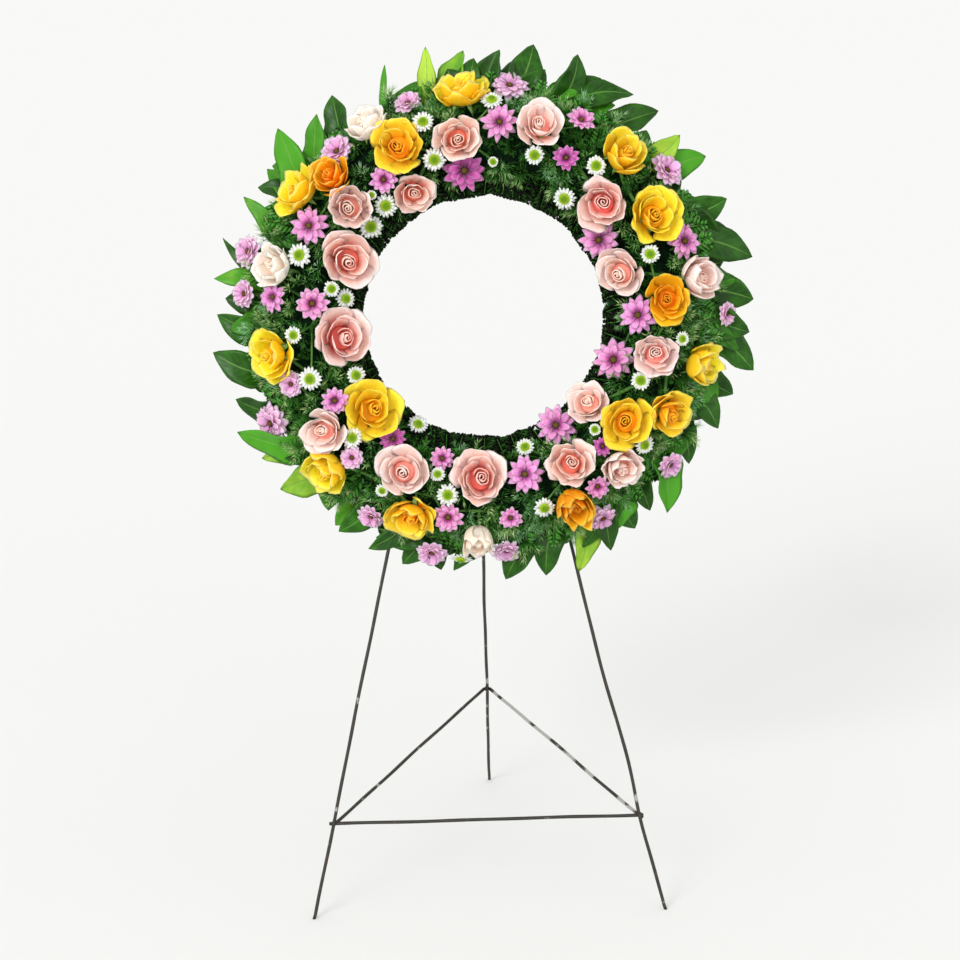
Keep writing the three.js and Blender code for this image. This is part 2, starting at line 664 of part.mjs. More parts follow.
// Leaves leave their stem on alternate sides of its lane, tilted forward or back till they are clear
const TILTS = [0, 6, -6, 12, -12, 18, -18, 24, 30, 36];
const LEAF_TRIES = [[0, 1], [3, 1], [-3, 1], [0, 0.85], [4, 0.8], [-4, 0.8]];
leafStems.forEach(({ node, leaves, first, arc }) => leaves.forEach(([clock, reach, width], i) => {
  const swept = THREE.MathUtils.clamp(((clock - LEAF_LEAN - first + 720) % 360), 1, arc - 5);
  const base = leafLane(first + swept);
  const nominal = LEAF_LIFTS[i % 2];
  const wave = spread(0.9, 0.5);
  let best = null;
  for (const tilt of TILTS) {
    for (const [turn, scale] of LEAF_TRIES) {
      const tip = ringPoint(clock + turn, reach, LEAF_LANE[1] + nominal + tilt);
      const face = ringPoint(clock, 0.25, 1);
      const leaf = solidOf(leafGeometry(base, tip, width * scale, face, wave));
      const blocked = clashes(node, leaf);
      if (!best || blocked < best.blocked) best = { blocked, leaf };
      if (!blocked) break;
    }
    if (!best.blocked) break;
  }
  if (best.blocked) return;
  place(node, best.leaf);
  note(node, [best.leaf]);
}));

// A tuft of needles: an icosahedron with a spike drawn out of every face but those towards the foam
function tuftSolid(center, radius, outward) {
  const core = new THREE.IcosahedronGeometry(radius * TUFT_CORE).attributes.position;
  const spin = new THREE.Euler(random() * 6, random() * 6, random() * 6);
  const points = [];
  for (let i = 0; i < core.count; i += 3) {
    const face = [0, 1, 2].map((k) => new THREE.Vector3().fromBufferAttribute(core, i + k).applyEuler(spin));
    const middle = face[0].clone().add(face[1]).add(face[2]).divideScalar(3);
    const spike = middle.clone().setLength(radius * spread(0.88, 0.12));
    if (middle.dot(outward) < -TUFT_BARE * radius) points.push(...face);
    else face.forEach((corner, k) => points.push(corner, face[(k + 1) % 3], spike));
  }
  return solidOf(new THREE.BufferGeometry().setFromPoints(points).translate(center.x, center.y, center.z));
}

// Tufts fill the gaps between heads, evenly along each branch, on twigs that rise from it
const TUFT_FLANKS = { '-1': [94, 84, 74, 104, 60, 40], 1: [48, 30, 62, 12, 78, 92] };
const TUFT_SHIFTS = [0, 3, -3, 6, -6, 9, -9];
const TUFT_SCALES = [1, 0.85, 0.72];
function growTuft(node, flank, clock) {
  for (const scale of TUFT_SCALES) {
    for (const standing of TUFT_FLANKS[Math.sign(flank)]) {
      for (const shift of TUFT_SHIFTS) {
        const center = tubePoint(clock + shift, Math.sign(flank) * standing, spread(TUFT_LEVEL, 3));
        const outward = center.clone().sub(tubePoint(clock + shift, 0, 0)).normalize();
        const tuft = tuftSolid(center, TUFT_RADIUS * scale, outward);
        const root = tubePoint(clock, flank, FERN_LEVEL);
        const fat = rod(root, center, TWIG_RADIUS + 2 * GAP, 3);
        if (clashes(node, tuft) || clashes(node, fat)) continue;
        return [tuft, rod(root, center, TWIG_RADIUS, 3)];
      }
    }
  }
  return [];
}
FERN_BRANCHES.forEach(({ node, flank, from, arc, tufts }) => {
  for (let i = 0; i < tufts; i += 1) {
    const pieces = growTuft(node, flank, from + (arc * (i + 0.5)) / tufts);
    pieces.forEach((piece) => place(node, piece));
    note(node, pieces);
  }
});

// A plain hole in the foam for each stem
const foamRing = foam.subtract(Manifold.union(foamCuts));

// Easel wires, laid in the plane of the front legs and behind it
const LEG_STEPS = 6;
const BELOW_FLOOR = 8;
const FLOOR = [1200, 1400, 60];
const floor = solidOf(new THREE.BoxGeometry(...FLOOR).translate(0, 0, -FLOOR[2] / 2));
function frontLeg(side, bends) {
  const top = meetsHoop(side) + LEG_LAP;
  const stops = [[-BELOW_FLOOR, 0], ...bends, [top, 0]].map(([slope, stray]) => (
    slopePoint(side * legLine(slope) + stray, slope, 0)
  ));
  return sweep(new THREE.CatmullRomCurve3(stops), WIRE / 2, WIRE_SIDES, LEG_STEPS).subtract(floor);
}

const [rearX, rearY] = REAR_FOOT;
const rearFoot = new THREE.Vector3(rearX, rearY, 0);
const BELOW_SHARE = 0.02;
const hoopBottom = RING_SLOPE - HOOP_RADIUS;
const rearBend = slopePoint(rearX, hoopBottom - REAR_BEND_BELOW, 0);
const rearTop = slopePoint(rearX, hoopBottom + REAR_END_ABOVE, 0);
const rearLeg = Manifold.union([
  rod(rearFoot.clone().lerp(rearBend, -BELOW_SHARE), rearBend, WIRE / 2, WIRE_SIDES),
  rod(rearBend, rearTop, WIRE / 2, WIRE_SIDES),
  solidOf(new THREE.IcosahedronGeometry(BEND_BEAD).translate(rearBend.x, rearBend.y, rearBend.z)),
]).subtract(floor);

const barReach = legLine(CROSSBAR_SLOPE);
const crossbar = rod(
  slopePoint(-barReach - BAR_ENDS[0], CROSSBAR_SLOPE, -LAP),
  slopePoint(barReach + BAR_ENDS[1], CROSSBAR_SLOPE, -LAP),
  WIRE / 2, WIRE_SIDES,
);
const rearJoint = rearFoot.clone().lerp(rearBend, REAR_JOINT_SHARE);
const brace = (side) => rod(
  slopePoint(side * (barReach - BRACE_START[0]), CROSSBAR_SLOPE + BRACE_START[1], -2 * LAP),
  rearJoint.clone().setX(rearX + side * BRACE_END),
  WIRE / 2, WIRE_SIDES,
);

// Finishes
const steel = { color: 0x3f3b36, roughness: 0.45, metalness: 0.8 };
const leafGreen = { color: 0x2f6b2c, roughness: 0.5, metalness: 0 };
const fernGreen = { color: 0x1f5a33, roughness: 0.75, metalness: 0 };
const foamGreen = { color: 0x2d5f3a, roughness: 0.95, metalness: 0 };
const trayGreen = { color: 0x1c3d26, roughness: 0.5, metalness: 0 };
const petal = (color) => ({ color, roughness: 0.65, metalness: 0 });

function namedMesh(name, solid, finish) {
  const mesh = new THREE.Mesh(geometryOf(solid), new THREE.MeshStandardMaterial(finish));
  mesh.name = name;
  return mesh;
}

// Ring and flowers share the leaning frame of the easel's front
const ring = new THREE.Group();
ring.position.copy(slopePoint(RING_SHIFT, RING_SLOPE, -legsBack));
ring.rotation.x = Math.PI / 2 - lean;
ring.add(namedMesh('wreath_hoop', hoop, steel));
ring.add(namedMesh('ring_tray', tray, trayGreen));
ring.add(namedMesh('foam_ring', foamRing, foamGreen));
PLAN.forEach(({ node, kind, color }) => {
  ring.add(namedMesh(node, Manifold.union(nodes.get(node)), petal(color ?? KIND_COLORS[kind])));
});
leafStems.forEach(({ node }) => ring.add(namedMesh(node, Manifold.union(nodes.get(node)), leafGreen)));
FERN_BRANCHES.forEach(({ node }) => ring.add(namedMesh(node, Manifold.union(nodes.get(node)), fernGreen)));

const easel = new THREE.Group();
easel.add(namedMesh('left_front_leg', frontLeg(-1, []), steel));
easel.add(namedMesh('right_front_leg', frontLeg(1, RIGHT_LEG_BENDS), steel));
easel.add(namedMesh('rear_leg', rearLeg, steel));
easel.add(namedMesh('front_crossbar', crossbar, steel));
easel.add(namedMesh('left_brace', brace(-1), steel));
easel.add(namedMesh('right_brace', brace(1), steel));

const standing = new THREE.Group();
standing.add(ring, easel);
standing.updateMatrixWorld(true);
const whole = new THREE.Box3().setFromObject(standing, true);
const middle = whole.getCenter(new THREE.Vector3());
standing.position.set(-middle.x, -middle.y, -whole.min.z);

const wreath = new THREE.Group();
wreath.add(standing);
export default wreath;
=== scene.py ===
"""Standing wreath, dressed: roses, daisies, fern and lemon leaf in a ring of wet foam on a wire easel.

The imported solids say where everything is. Shapes are worked out in millimetres in the ring's own frame, x to
the right, y up the slope and z forward from the tray's back, and turned to metres once, where a mesh is made.
"""

import logging
import math
from dataclasses import dataclass, field
from enum import Enum

import bpy
import numpy as np
from mathutils import Matrix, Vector
from numpy.typing import NDArray


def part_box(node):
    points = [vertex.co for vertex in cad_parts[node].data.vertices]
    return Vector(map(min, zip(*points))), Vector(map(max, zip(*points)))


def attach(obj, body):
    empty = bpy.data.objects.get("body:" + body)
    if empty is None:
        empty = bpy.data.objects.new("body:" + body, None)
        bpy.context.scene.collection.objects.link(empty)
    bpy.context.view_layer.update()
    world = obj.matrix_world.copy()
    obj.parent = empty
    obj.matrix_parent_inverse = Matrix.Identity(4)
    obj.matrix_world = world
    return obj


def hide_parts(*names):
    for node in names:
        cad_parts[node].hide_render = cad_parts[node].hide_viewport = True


Array = NDArray[np.float64]
Index = NDArray[np.int64]
Colour = tuple[float, float, float, float]
Pair = tuple[float, float]
Table = tuple[tuple[float, ...], ...]
Dice = np.random.Generator
Material = bpy.types.Material
Socket = bpy.types.NodeSocket

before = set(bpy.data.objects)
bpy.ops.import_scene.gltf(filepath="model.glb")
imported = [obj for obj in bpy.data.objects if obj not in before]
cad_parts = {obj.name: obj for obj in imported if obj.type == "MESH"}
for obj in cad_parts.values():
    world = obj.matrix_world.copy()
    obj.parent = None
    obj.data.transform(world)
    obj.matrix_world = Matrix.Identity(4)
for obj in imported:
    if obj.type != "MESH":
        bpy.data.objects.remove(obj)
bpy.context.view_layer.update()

log = logging.getLogger("wreath")

MM = 0.001  # a millimetre in metres
GOLDEN_ANGLE = math.pi * (3 - math.sqrt(5))

# The plan's own sizes in millimetres, as the solids have them
TRAY_LIP = 15.0
TRAY_WALL = 1.5
FOAM_HALF = 32.0
FOAM_PLAY = 0.6
# The ring's centre: aside of the easel's middle, up the slope of the legs, and how far these lie behind it
RING_SHIFT = 12.0
RING_SLOPE = 697.0
LEGS_BACK = 6.6
# The flowers stand on a tube round a circle of this radius and height, no further down its sides than the steepest
RING_RADIUS = 200.0
TUBE_HEIGHT = 20.0
STEEPEST = math.sin(math.radians(76))


# --- frames and places


@dataclass(frozen=True)
class RingFrame:
    """The leaning frame of the ring: world = centre + x, y and z along its three axes."""

    centre: Array
    lean: float = math.radians(10.4)

    @classmethod
    def from_tray(cls) -> "RingFrame":
        """Finds the frame from the tray's box, whose middle lies half a lip's height before its back.

        Returns:
            The frame with its centre on the tray's back, in metres.
        """
        low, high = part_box("ring_tray")
        found = cls(centre=np.array((low + high) / 2))
        return cls(centre=found.centre - MM * 0.5 * TRAY_LIP * found.axes[2])

    @property
    def axes(self) -> Array:
        """Rows: to the right, up the slope, forward."""
        rise, run = math.cos(self.lean), math.sin(self.lean)
        return np.array([[1, 0, 0], [0, run, rise], [0, -rise, run]])

    def world(self, points: Array) -> Array:
        """Places in metres for points of the ring's frame in millimetres."""
        return self.centre + MM * points @ self.axes

    def from_feet(self, points: Array) -> Array:
        """Ring points for upright millimetres measured from the middle of the front feet's line.

        Args:
            points: (n, 3), x to the right, y to the back and z up.

        Returns:
            (n, 3) in the ring's frame.
        """
        return points @ self.axes.T - np.array([RING_SHIFT, RING_SLOPE, LEGS_BACK])


def ring_point(clock: Array, reach: Array, height: Array) -> Array:
    """Points at a clock angle in degrees, a reach from the ring's centre and a height over the tray's back."""
    # (reach sin clock, reach cos clock, height)
    angle = np.radians(clock)
    return np.stack(np.broadcast_arrays(reach * np.sin(angle), reach * np.cos(angle), height), axis=-1)


def tube_point(clock: Array, flank: Array, level: Array) -> Array:
    """Points round the flower tube, at a clock angle and a flank in degrees and a level over the tube's axis."""
    # reach = RING_RADIUS + level sin flank, height = TUBE_HEIGHT + level cos flank
    side = np.radians(flank)
    return ring_point(clock, RING_RADIUS + level * np.sin(side), TUBE_HEIGHT + level * np.cos(side))


def unit(vectors: Array) -> Array:
    """Each vector divided by its length."""
    return vectors / np.maximum(np.linalg.norm(vectors, axis=-1, keepdims=True), 1e-9)


def smooth(values: Array, low: float, high: float) -> Array:
    """A soft step from 0 at low to 1 at high: t t (3 - 2 t)."""
    share = np.clip((values - low) / (high - low), 0, 1)
    return share * share * (3 - 2 * share)


def basis_along(axes: Array, spin: Array) -> Array:
    """Frames whose third row is the given axis, turned about it by spin.

    Args:
        axes: (..., 3) unit vectors.
        spin: (...) angles in radians.

    Returns:
        (..., 3, 3), rows side, up and axis, with side x up = axis.
    """
    steady = np.eye(3)[np.argmin(np.abs(axes), axis=-1)]
    side = unit(np.cross(steady, axes))
    up = np.cross(axes, side)
    turn, lift = np.cos(spin)[..., None], np.sin(spin)[..., None]
    return np.stack([turn * side + lift * up, turn * up - lift * side, axes], axis=-2)


# --- surfaces


@dataclass
class Patch:
    """A closed surface: its points, faces and what its finish reads at each point.

    place is (across -1 to 1, rise 0 to 1, under 0 to 1): where on its blade a point is, and on which side.
    kind is (layer, chance, shade), each about 0 to 1: how far out the blade stands, its luck, and its lightness.
    """

    points: Array
    faces: list[Index]
    place: Array
    kind: Array

    def moved(self, basis: Array, origin: Array) -> "Patch":
        """The patch turned by a basis of rows and moved to an origin."""
        return Patch(self.points @ basis + origin, self.faces, self.place, self.kind)


def steps_of(rows: int, columns: int) -> tuple[Array, Array]:
    """The even steps of a sheet: rise from 0 to 1 as (1, rows, 1), and across from -1 to 1 as (1, 1, columns)."""
    return np.linspace(0, 1, rows)[None, :, None], np.linspace(-1, 1, columns)[None, None, :]


def lens(grids: Array, thick: float | Array, kind: Array) -> Patch:
    """Thin blades from sheets of points: two skins half a thickness off the sheet that meet at its edge.

    The under skin lies along across x rise, the upper one against it.

    Args:
        grids: (k, a, b, 3), rows evenly along the rise and columns evenly across.
        thick: thickness in the middle, in millimetres, one for all or (k,).
        kind: (k, 3), the marks that a whole blade shares.

    Returns:
        One patch with all the blades.
    """
    count, rows, columns, _ = grids.shape
    normal = unit(np.cross(np.gradient(grids, axis=2), np.gradient(grids, axis=1)))
    inner = np.zeros((count, rows, columns, 1))
    inner[:, 1:-1, 1:-1] = 0.5 * np.reshape(thick, (-1, 1, 1, 1))
    under = grids + inner * normal
    upper = (grids - inner * normal)[:, 1:-1, 1:-1]
    lower_ids = np.arange(rows * columns).reshape(rows, columns)
    upper_ids = lower_ids.copy()
    upper_ids[1:-1, 1:-1] = rows * columns + np.arange((rows - 2) * (columns - 2)).reshape(rows - 2, columns - 2)
    first = [lower_ids[:-1, :-1], lower_ids[:-1, 1:], lower_ids[1:, 1:], lower_ids[1:, :-1]]
    second = [upper_ids[:-1, :-1], upper_ids[1:, :-1], upper_ids[1:, 1:], upper_ids[:-1, 1:]]
    one = np.concatenate([np.stack(side, axis=-1).reshape(-1, 4) for side in (first, second)])
    size = rows * columns + (rows - 2) * (columns - 2)
    faces = (one[None] + size * np.arange(count)[:, None, None]).reshape(-1, 4)
    edge = np.full((rows, columns), 0.5)
    edge[1:-1, 1:-1] = 1.0
    rise, across = steps_of(rows, columns)
    marks = np.stack(np.broadcast_arrays(across, rise, np.broadcast_to(edge, (count, rows, columns))), axis=-1)
    above = marks[:, 1:-1, 1:-1] * np.array([1, 1, 0])
    points = np.concatenate([under.reshape(count, -1, 3), upper.reshape(count, -1, 3)], axis=1)
    place = np.concatenate([marks.reshape(count, -1, 3), above.reshape(count, -1, 3)], axis=1)
    shared = np.repeat(kind[:, None, :], size, axis=1)
    return Patch(points.reshape(-1, 3), [faces], place.reshape(-1, 3), shared.reshape(-1, 3))


def tubes(paths: Array, radii: Array, sides: int, kind: Array) -> Patch:
    """Round sections carried along paths and closed at both ends.

    point = path + radius (cos turn side + sin turn up), with side and up square to the path

    Args:
        paths: (k, m, 3).
        radii: (k, m) or (m,).
        sides: points of a section.
        kind: (k, 3), the marks that a whole tube shares.

    Returns:
        One patch with all the tubes.
    """
    count, steps, _ = paths.shape
    tangent = unit(np.gradient(paths, axis=1))
    steady = np.eye(3)[np.argmin(np.abs(tangent.mean(axis=1)), axis=-1)][:, None, :]
    side = unit(np.cross(steady, tangent))
    up = np.cross(tangent, side)
    turn = np.linspace(0, 2 * np.pi, sides, endpoint=False)
    wheel = np.cos(turn)[:, None] * side[:, :, None, :] + np.sin(turn)[:, None] * up[:, :, None, :]
    width = np.broadcast_to(radii, (count, steps))[:, :, None, None]
    skin = (paths[:, :, None, :] + width * wheel).reshape(count, -1, 3)
    ends = np.stack([paths[:, 0], paths[:, -1]], axis=1)
    ids = np.arange(steps * sides).reshape(steps, sides)
    after = np.roll(ids, -1, axis=1)
    walls = np.stack([ids[:-1], after[:-1], after[1:], ids[1:]], axis=-1).reshape(-1, 4)
    start, stop = steps * sides, steps * sides + 1
    head = np.stack([np.full(sides, stop), ids[-1], after[-1]], axis=-1)
    foot = np.stack([np.full(sides, start), after[0], ids[0]], axis=-1)
    size = steps * sides + 2
    shift = size * np.arange(count)[:, None, None]
    faces = [(part[None] + shift).reshape(-1, part.shape[1]) for part in (walls, np.concatenate([head, foot]))]
    rise = np.append(np.repeat(np.linspace(0, 1, steps), sides), [0, 1])
    around = np.append(np.tile(np.linspace(-1, 1, sides), steps), [0, 0])
    place = np.tile(np.stack([around, rise, np.zeros(size)], axis=-1), (count, 1))
    points = np.concatenate([skin, ends], axis=1)
    return Patch(points.reshape(-1, 3), faces, place, np.repeat(kind, size, axis=0))


def turned(profile: Array, sides: int, kind: tuple[float, float, float], closed: bool = False) -> Patch:
    """A profile turned about the third axis: (r cos turn, r sin turn, z).

    Args:
        profile: (m, 2) of radius and height. An open one starts and ends on the axis and runs upwards,
            a closed one is a loop, counterclockwise with the radius to the right and the height up.
        sides: steps of a full turn.
        kind: the marks that the whole patch shares.
        closed: True for a loop.

    Returns:
        The patch, its rise following the profile.
    """
    turn = np.linspace(0, 2 * np.pi, sides, endpoint=False)
    body = profile if closed else profile[1:-1]
    reach = body[:, 0, None]
    skin = np.stack(
        [reach * np.cos(turn), reach * np.sin(turn), np.repeat(body[:, 1, None], sides, axis=1)], axis=-1
    )
    ids = np.arange(len(body) * sides).reshape(len(body), sides)
    after = np.roll(ids, -1, axis=1)
    near, far = (ids, np.roll(ids, -1, axis=0)) if closed else (ids[:-1], ids[1:])
    near_on, far_on = (after, np.roll(after, -1, axis=0)) if closed else (after[:-1], after[1:])
    faces = [np.stack([near, near_on, far_on, far], axis=-1).reshape(-1, 4)]
    points = skin.reshape(-1, 3)
    rise = np.repeat(np.linspace(0, 1, len(body)), sides)
    around = np.tile(np.linspace(-1, 1, sides), len(body))
    if not closed:
        low, high = len(points), len(points) + 1
        points = np.concatenate([points, [[0, 0, profile[0, 1]], [0, 0, profile[-1, 1]]]])
        rise, around = np.append(rise, [0, 1]), np.append(around, [0, 0])
        faces.append(np.stack([np.full(sides, low), after[0], ids[0]], axis=-1))
        faces.append(np.stack([np.full(sides, high), ids[-1], after[-1]], axis=-1))
    place = np.stack([around, rise, np.zeros(len(points))], axis=-1)
    return Patch(points, faces, place, np.tile(kind, (len(points), 1)))


def pips(centres: Array, radius: Array, height: Array, kind: tuple[float, float, float]) -> Patch:
    """Small upright florets, each an eight-faced bead on four sides.

    Args:
        centres: (k, 3).
        radius: (k,) half widths.
        height: (k,) half heights.
        kind: the marks that all share.

    Returns:
        One patch with all the florets.
    """
    corner = np.array([[1, 0, 0], [0, 1, 0], [-1, 0, 0], [0, -1, 0], [0, 0, 1], [0, 0, -1]], float)
    size = np.stack([radius, radius, height], axis=-1)
    points = centres[:, None, :] + corner[None] * size[:, None, :]
    ring = np.arange(4)
    after = np.roll(ring, -1)
    top = np.stack([ring, after, np.full(4, 4)], axis=-1)
    bottom = np.stack([after, ring, np.full(4, 5)], axis=-1)
    faces = np.concatenate([top, bottom])[None] + 6 * np.arange(len(centres))[:, None, None]
    reach = np.hypot(centres[:, 0], centres[:, 1])
    rise = np.repeat(reach / max(reach.max(), 1e-9), 6)
    place = np.stack([np.zeros_like(rise), rise, np.zeros_like(rise)], axis=-1)
    return Patch(points.reshape(-1, 3), [faces.reshape(-1, 3)], place, np.tile(kind, (len(place), 1)))


def spikes(start: Array, middle: Array, tip: Array, side: Array, up: Array, kind: Array) -> Patch:
    """Slim blades: a triangle at the middle, drawn out to a point at both ends, six faces each.

    Args:
        start: (k, 3).
        middle: (k, 3), the middle of the triangle's base.
        tip: (k, 3).
        side: (k, 3) from the middle to one corner of the base, half the width.
        up: (k, 3) from the middle to the ridge, the thickness. side x up points to the tip.
        kind: (k, 3), the marks that a whole blade shares.

    Returns:
        One patch with all the blades.
    """
    points = np.stack([start, middle + side, middle + up, middle - side, tip], axis=1)
    one = np.array([[0, 2, 1], [0, 3, 2], [0, 1, 3], [4, 1, 2], [4, 2, 3], [4, 3, 1]])
    faces = (one[None] + 5 * np.arange(len(start))[:, None, None]).reshape(-1, 3)
    mark = np.array([[0, 0, 0], [1, 0.5, 0.5], [0, 0.5, 0], [-1, 0.5, 0.5], [0, 1, 0]])
    return Patch(points.reshape(-1, 3), [faces], np.tile(mark, (len(start), 1)), np.repeat(kind, 5, axis=0))


@dataclass
class Piece:
    """Patches that make one object, each with its finish."""

    name: str
    parts: list[tuple[Patch, Material]] = field(default_factory=list)

    def add(self, patch: Patch, finish: Material) -> None:
        """Takes in one more patch."""
        self.parts.append((patch, finish))

    def build(self, ring: RingFrame, slot: str, node: str, grounded: bool = False) -> None:
        """Makes the mesh, with its place in it, and lets it stand for its node on the one body.

        Args:
            ring: the frame that the patches are in.
            slot: the record's material slot; not used.
            node: the CAD node that the piece replaces.
            grounded: True presses flat what would reach below the floor.
        """
        starts = np.cumsum([0] + [len(patch.points) for patch, _ in self.parts])
        points = ring.world(np.concatenate([patch.points for patch, _ in self.parts]))
        if grounded:
            points[:, 2] = np.maximum(points[:, 2], 0)
        finishes = list(dict.fromkeys(finish for _, finish in self.parts))
        corners, sizes, slots = [], [], []
        for start, (patch, finish) in zip(starts, self.parts):
            for faces in patch.faces:
                corners.append((faces + start).ravel())
                sizes.append(np.full(len(faces), faces.shape[1]))
                slots.append(np.full(len(faces), finishes.index(finish)))
        loops, totals = np.concatenate(corners), np.concatenate(sizes)
        mesh = bpy.data.meshes.new(self.name)
        mesh.vertices.add(len(points))
        mesh.vertices.foreach_set("co", points.astype(np.float32).ravel())
        mesh.loops.add(len(loops))
        mesh.loops.foreach_set("vertex_index", loops.astype(np.int32))
        mesh.polygons.add(len(totals))
        mesh.polygons.foreach_set("loop_start", np.append(0, np.cumsum(totals)[:-1]).astype(np.int32))
        mesh.polygons.foreach_set("material_index", np.concatenate(slots).astype(np.int32))
        mesh.polygons.foreach_set("use_smooth", np.ones(len(totals), bool))
        for name in ("place", "kind"):
            marks = np.concatenate([getattr(patch, name) for patch, _ in self.parts])
            layer = mesh.attributes.new(name, "FLOAT_VECTOR", "POINT")
            layer.data.foreach_set("vector", marks.astype(np.float32).ravel())
        for finish in finishes:
            mesh.materials.append(finish)
        mesh.update(calc_edges=True)
        mesh.validate()
        made = bpy.data.objects.new(self.name, mesh)
        bpy.context.scene.collection.objects.link(made)
        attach(made, "root")
        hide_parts(node)
        log.info("%s: %d triangles", self.name, int((totals - 2).sum()))


# --- finishes


def linear(hex_colour: str) -> Colour:
    """Linear light of an sRGB hex value: c / 12.92 below 0.04045, else ((c + 0.055) / 1.055) to the 2.4."""
    parts = [int(hex_colour[i : i + 2], 16) / 255 for i in (1, 3, 5)]
    return (*[c / 12.92 if c <= 0.04045 else ((c + 0.055) / 1.055) ** 2.4 for c in parts], 1.0)


# Settings that many nodes share
RGBA = {"data_type": "RGBA"}
SOFT = {"interpolation_type": "SMOOTHSTEP"}
TIMES = {"operation": "MULTIPLY"}
TIMES_PLUS = {"operation": "MULTIPLY_ADD"}


@dataclass
class Shading:
    """A material under construction: its nodes, its shader and the marks that the surface carries."""

    name: str
    material: Material = field(init=False)
    shader: bpy.types.Node = field(init=False)
    where: Socket = field(init=False)

    def __post_init__(self) -> None:
        """Starts from one Principled shader and the piece's own place, in metres."""
        self.material = bpy.data.materials.new(self.name)
        self.material.use_nodes = True
        self.shader = self.material.node_tree.nodes["Principled BSDF"]
        self.where = self.add("TexCoord", out="Object")

    def add(self, kind: str, *values: object, out: str = "", **settings: object) -> Socket:
        """Adds a node with its settings and links.

        Args:
            kind: its type's name without the ShaderNode in front.
            *values: numbers, hex colours or nodes' outputs for its inputs in their order, None to skip one.
            out: name of the output that is wanted, or empty for the first.
            **settings: the node's own properties.

        Returns:
            The output.
        """
        tree = self.material.node_tree
        node = tree.nodes.new("ShaderNode" + kind)
        for name, value in settings.items():
            setattr(node, name, value)
        for socket, value in zip([socket for socket in node.inputs if socket.enabled], values):
            if isinstance(value, Socket):
                tree.links.new(value, socket)
            elif value is not None:
                socket.default_value = linear(value) if isinstance(value, str) else value
        return node.outputs[out] if out else next(socket for socket in node.outputs if socket.enabled)

    def marks(self, name: str) -> list[Socket]:
        """The three numbers of a mark that each point carries."""
        read = self.add("Attribute", out="Vector", attribute_name=name)
        return [self.add("SeparateXYZ", read, out=axis) for axis in "XYZ"]

    def finish(self, **sockets: object) -> Material:
        """Sets or links the shader's inputs, an underscore for each space in their names.

        Args:
            **sockets: what each input gets.

        Returns:
            The finished material.
        """
        for name, value in sockets.items():
            socket = self.shader.inputs[name.replace("_", " ")]
            if isinstance(value, Socket):
                self.material.node_tree.links.new(value, socket)
            else:
                socket.default_value = value
        return self.material


@dataclass(frozen=True)
class PetalFinish:
    """Fresh petal, grown in a thin waxy film: soft and nearly matt, light passes a little way through it, and
    the eye sees it deepen low down where petals shade each other, and fine veins run up it."""

    name: str
    deep: str
    face: str
    rim: str
    back: str
    heart: str
    roughness: float = 0.55
    deep_until: float = 0.62
    veins: float = 0.10
    blotch: float = 7.0

    def material(self) -> Material:
        """Deep to face up the petal, the heart's colour inside, a pale rim, the back's colour below, and veins.

        Returns:
            The finished material.
        """
        look = Shading(self.name)
        across, rise, under = look.marks("place")
        layer, chance, shade = look.marks("kind")
        # Painted shade, partly the petal's own deeper base: deep colour low on the petals, further up the inner
        # ones
        until = look.add("Math", layer, -0.5 * self.deep_until, 1.35 * self.deep_until, **TIMES_PLUS)
        low = look.add("MapRange", rise, 0.12, until, **SOFT)
        colour = look.add("Mix", low, self.deep, self.face, **RGBA)
        # Painted shade, partly the rose's own heart colour: the heart's colour on the inner petals, in the cup
        inner = look.add("MapRange", layer, 0.7, 0.1, **SOFT)
        inner = look.add("Math", inner, look.add("MapRange", rise, 0.05, 0.4, **SOFT), **TIMES)
        colour = look.add("Mix", inner, colour, self.heart, **RGBA)
        pale = look.add("Math", layer, 0.45, 0.3, **TIMES_PLUS)
        pale = look.add("Math", pale, look.add("MapRange", rise, 0.7, 1.05, **SOFT), **TIMES)
        colour = look.add("Mix", pale, colour, self.rim, **RGBA)
        # The back's colour on the under skin; the yellow roses' orange back is partly painted shade under the
        # petals
        outside = look.add("Math", under, 0.8, **TIMES)
        colour = look.add("Mix", outside, colour, self.back, **RGBA)
        # Veins stand under a millimetre apart and are drawn at two, so that they show
        fan = look.add("CombineXYZ", look.add("Math", across, 11.0, **TIMES), rise, chance)
        vein = look.add("TexNoise", fan, 1.3, 2.0)
        darker = look.add("Math", look.add("MapRange", vein, 0.55, 0.36, **SOFT), self.veins, **TIMES)
        colour = look.add("Mix", darker, colour, self.deep, **RGBA)
        cloud = look.add("TexNoise", look.where, 1 / (self.blotch * MM), 2.0)
        cloud = look.add("Math", cloud, 0.22, 0.9, **TIMES_PLUS)
        value = look.add("Math", chance, 0.14, 0.92, **TIMES_PLUS)
        value = look.add("Math", cloud, value, **TIMES)
        hue = look.add("Math", shade, 0.016, 0.492, **TIMES_PLUS)
        return look.finish(
            Base_Color=look.add("HueSaturation", hue, 1.0, value, 1.0, colour),
            Normal=look.add("Bump", 0.5, 0.4 * MM, 0.1, vein),
            Roughness=self.roughness,
            Specular_IOR_Level=0.2,
            Subsurface_Weight=0.5,
            Subsurface_Radius=(1.0, 0.75, 0.55),
            Subsurface_Scale=0.003,
        )


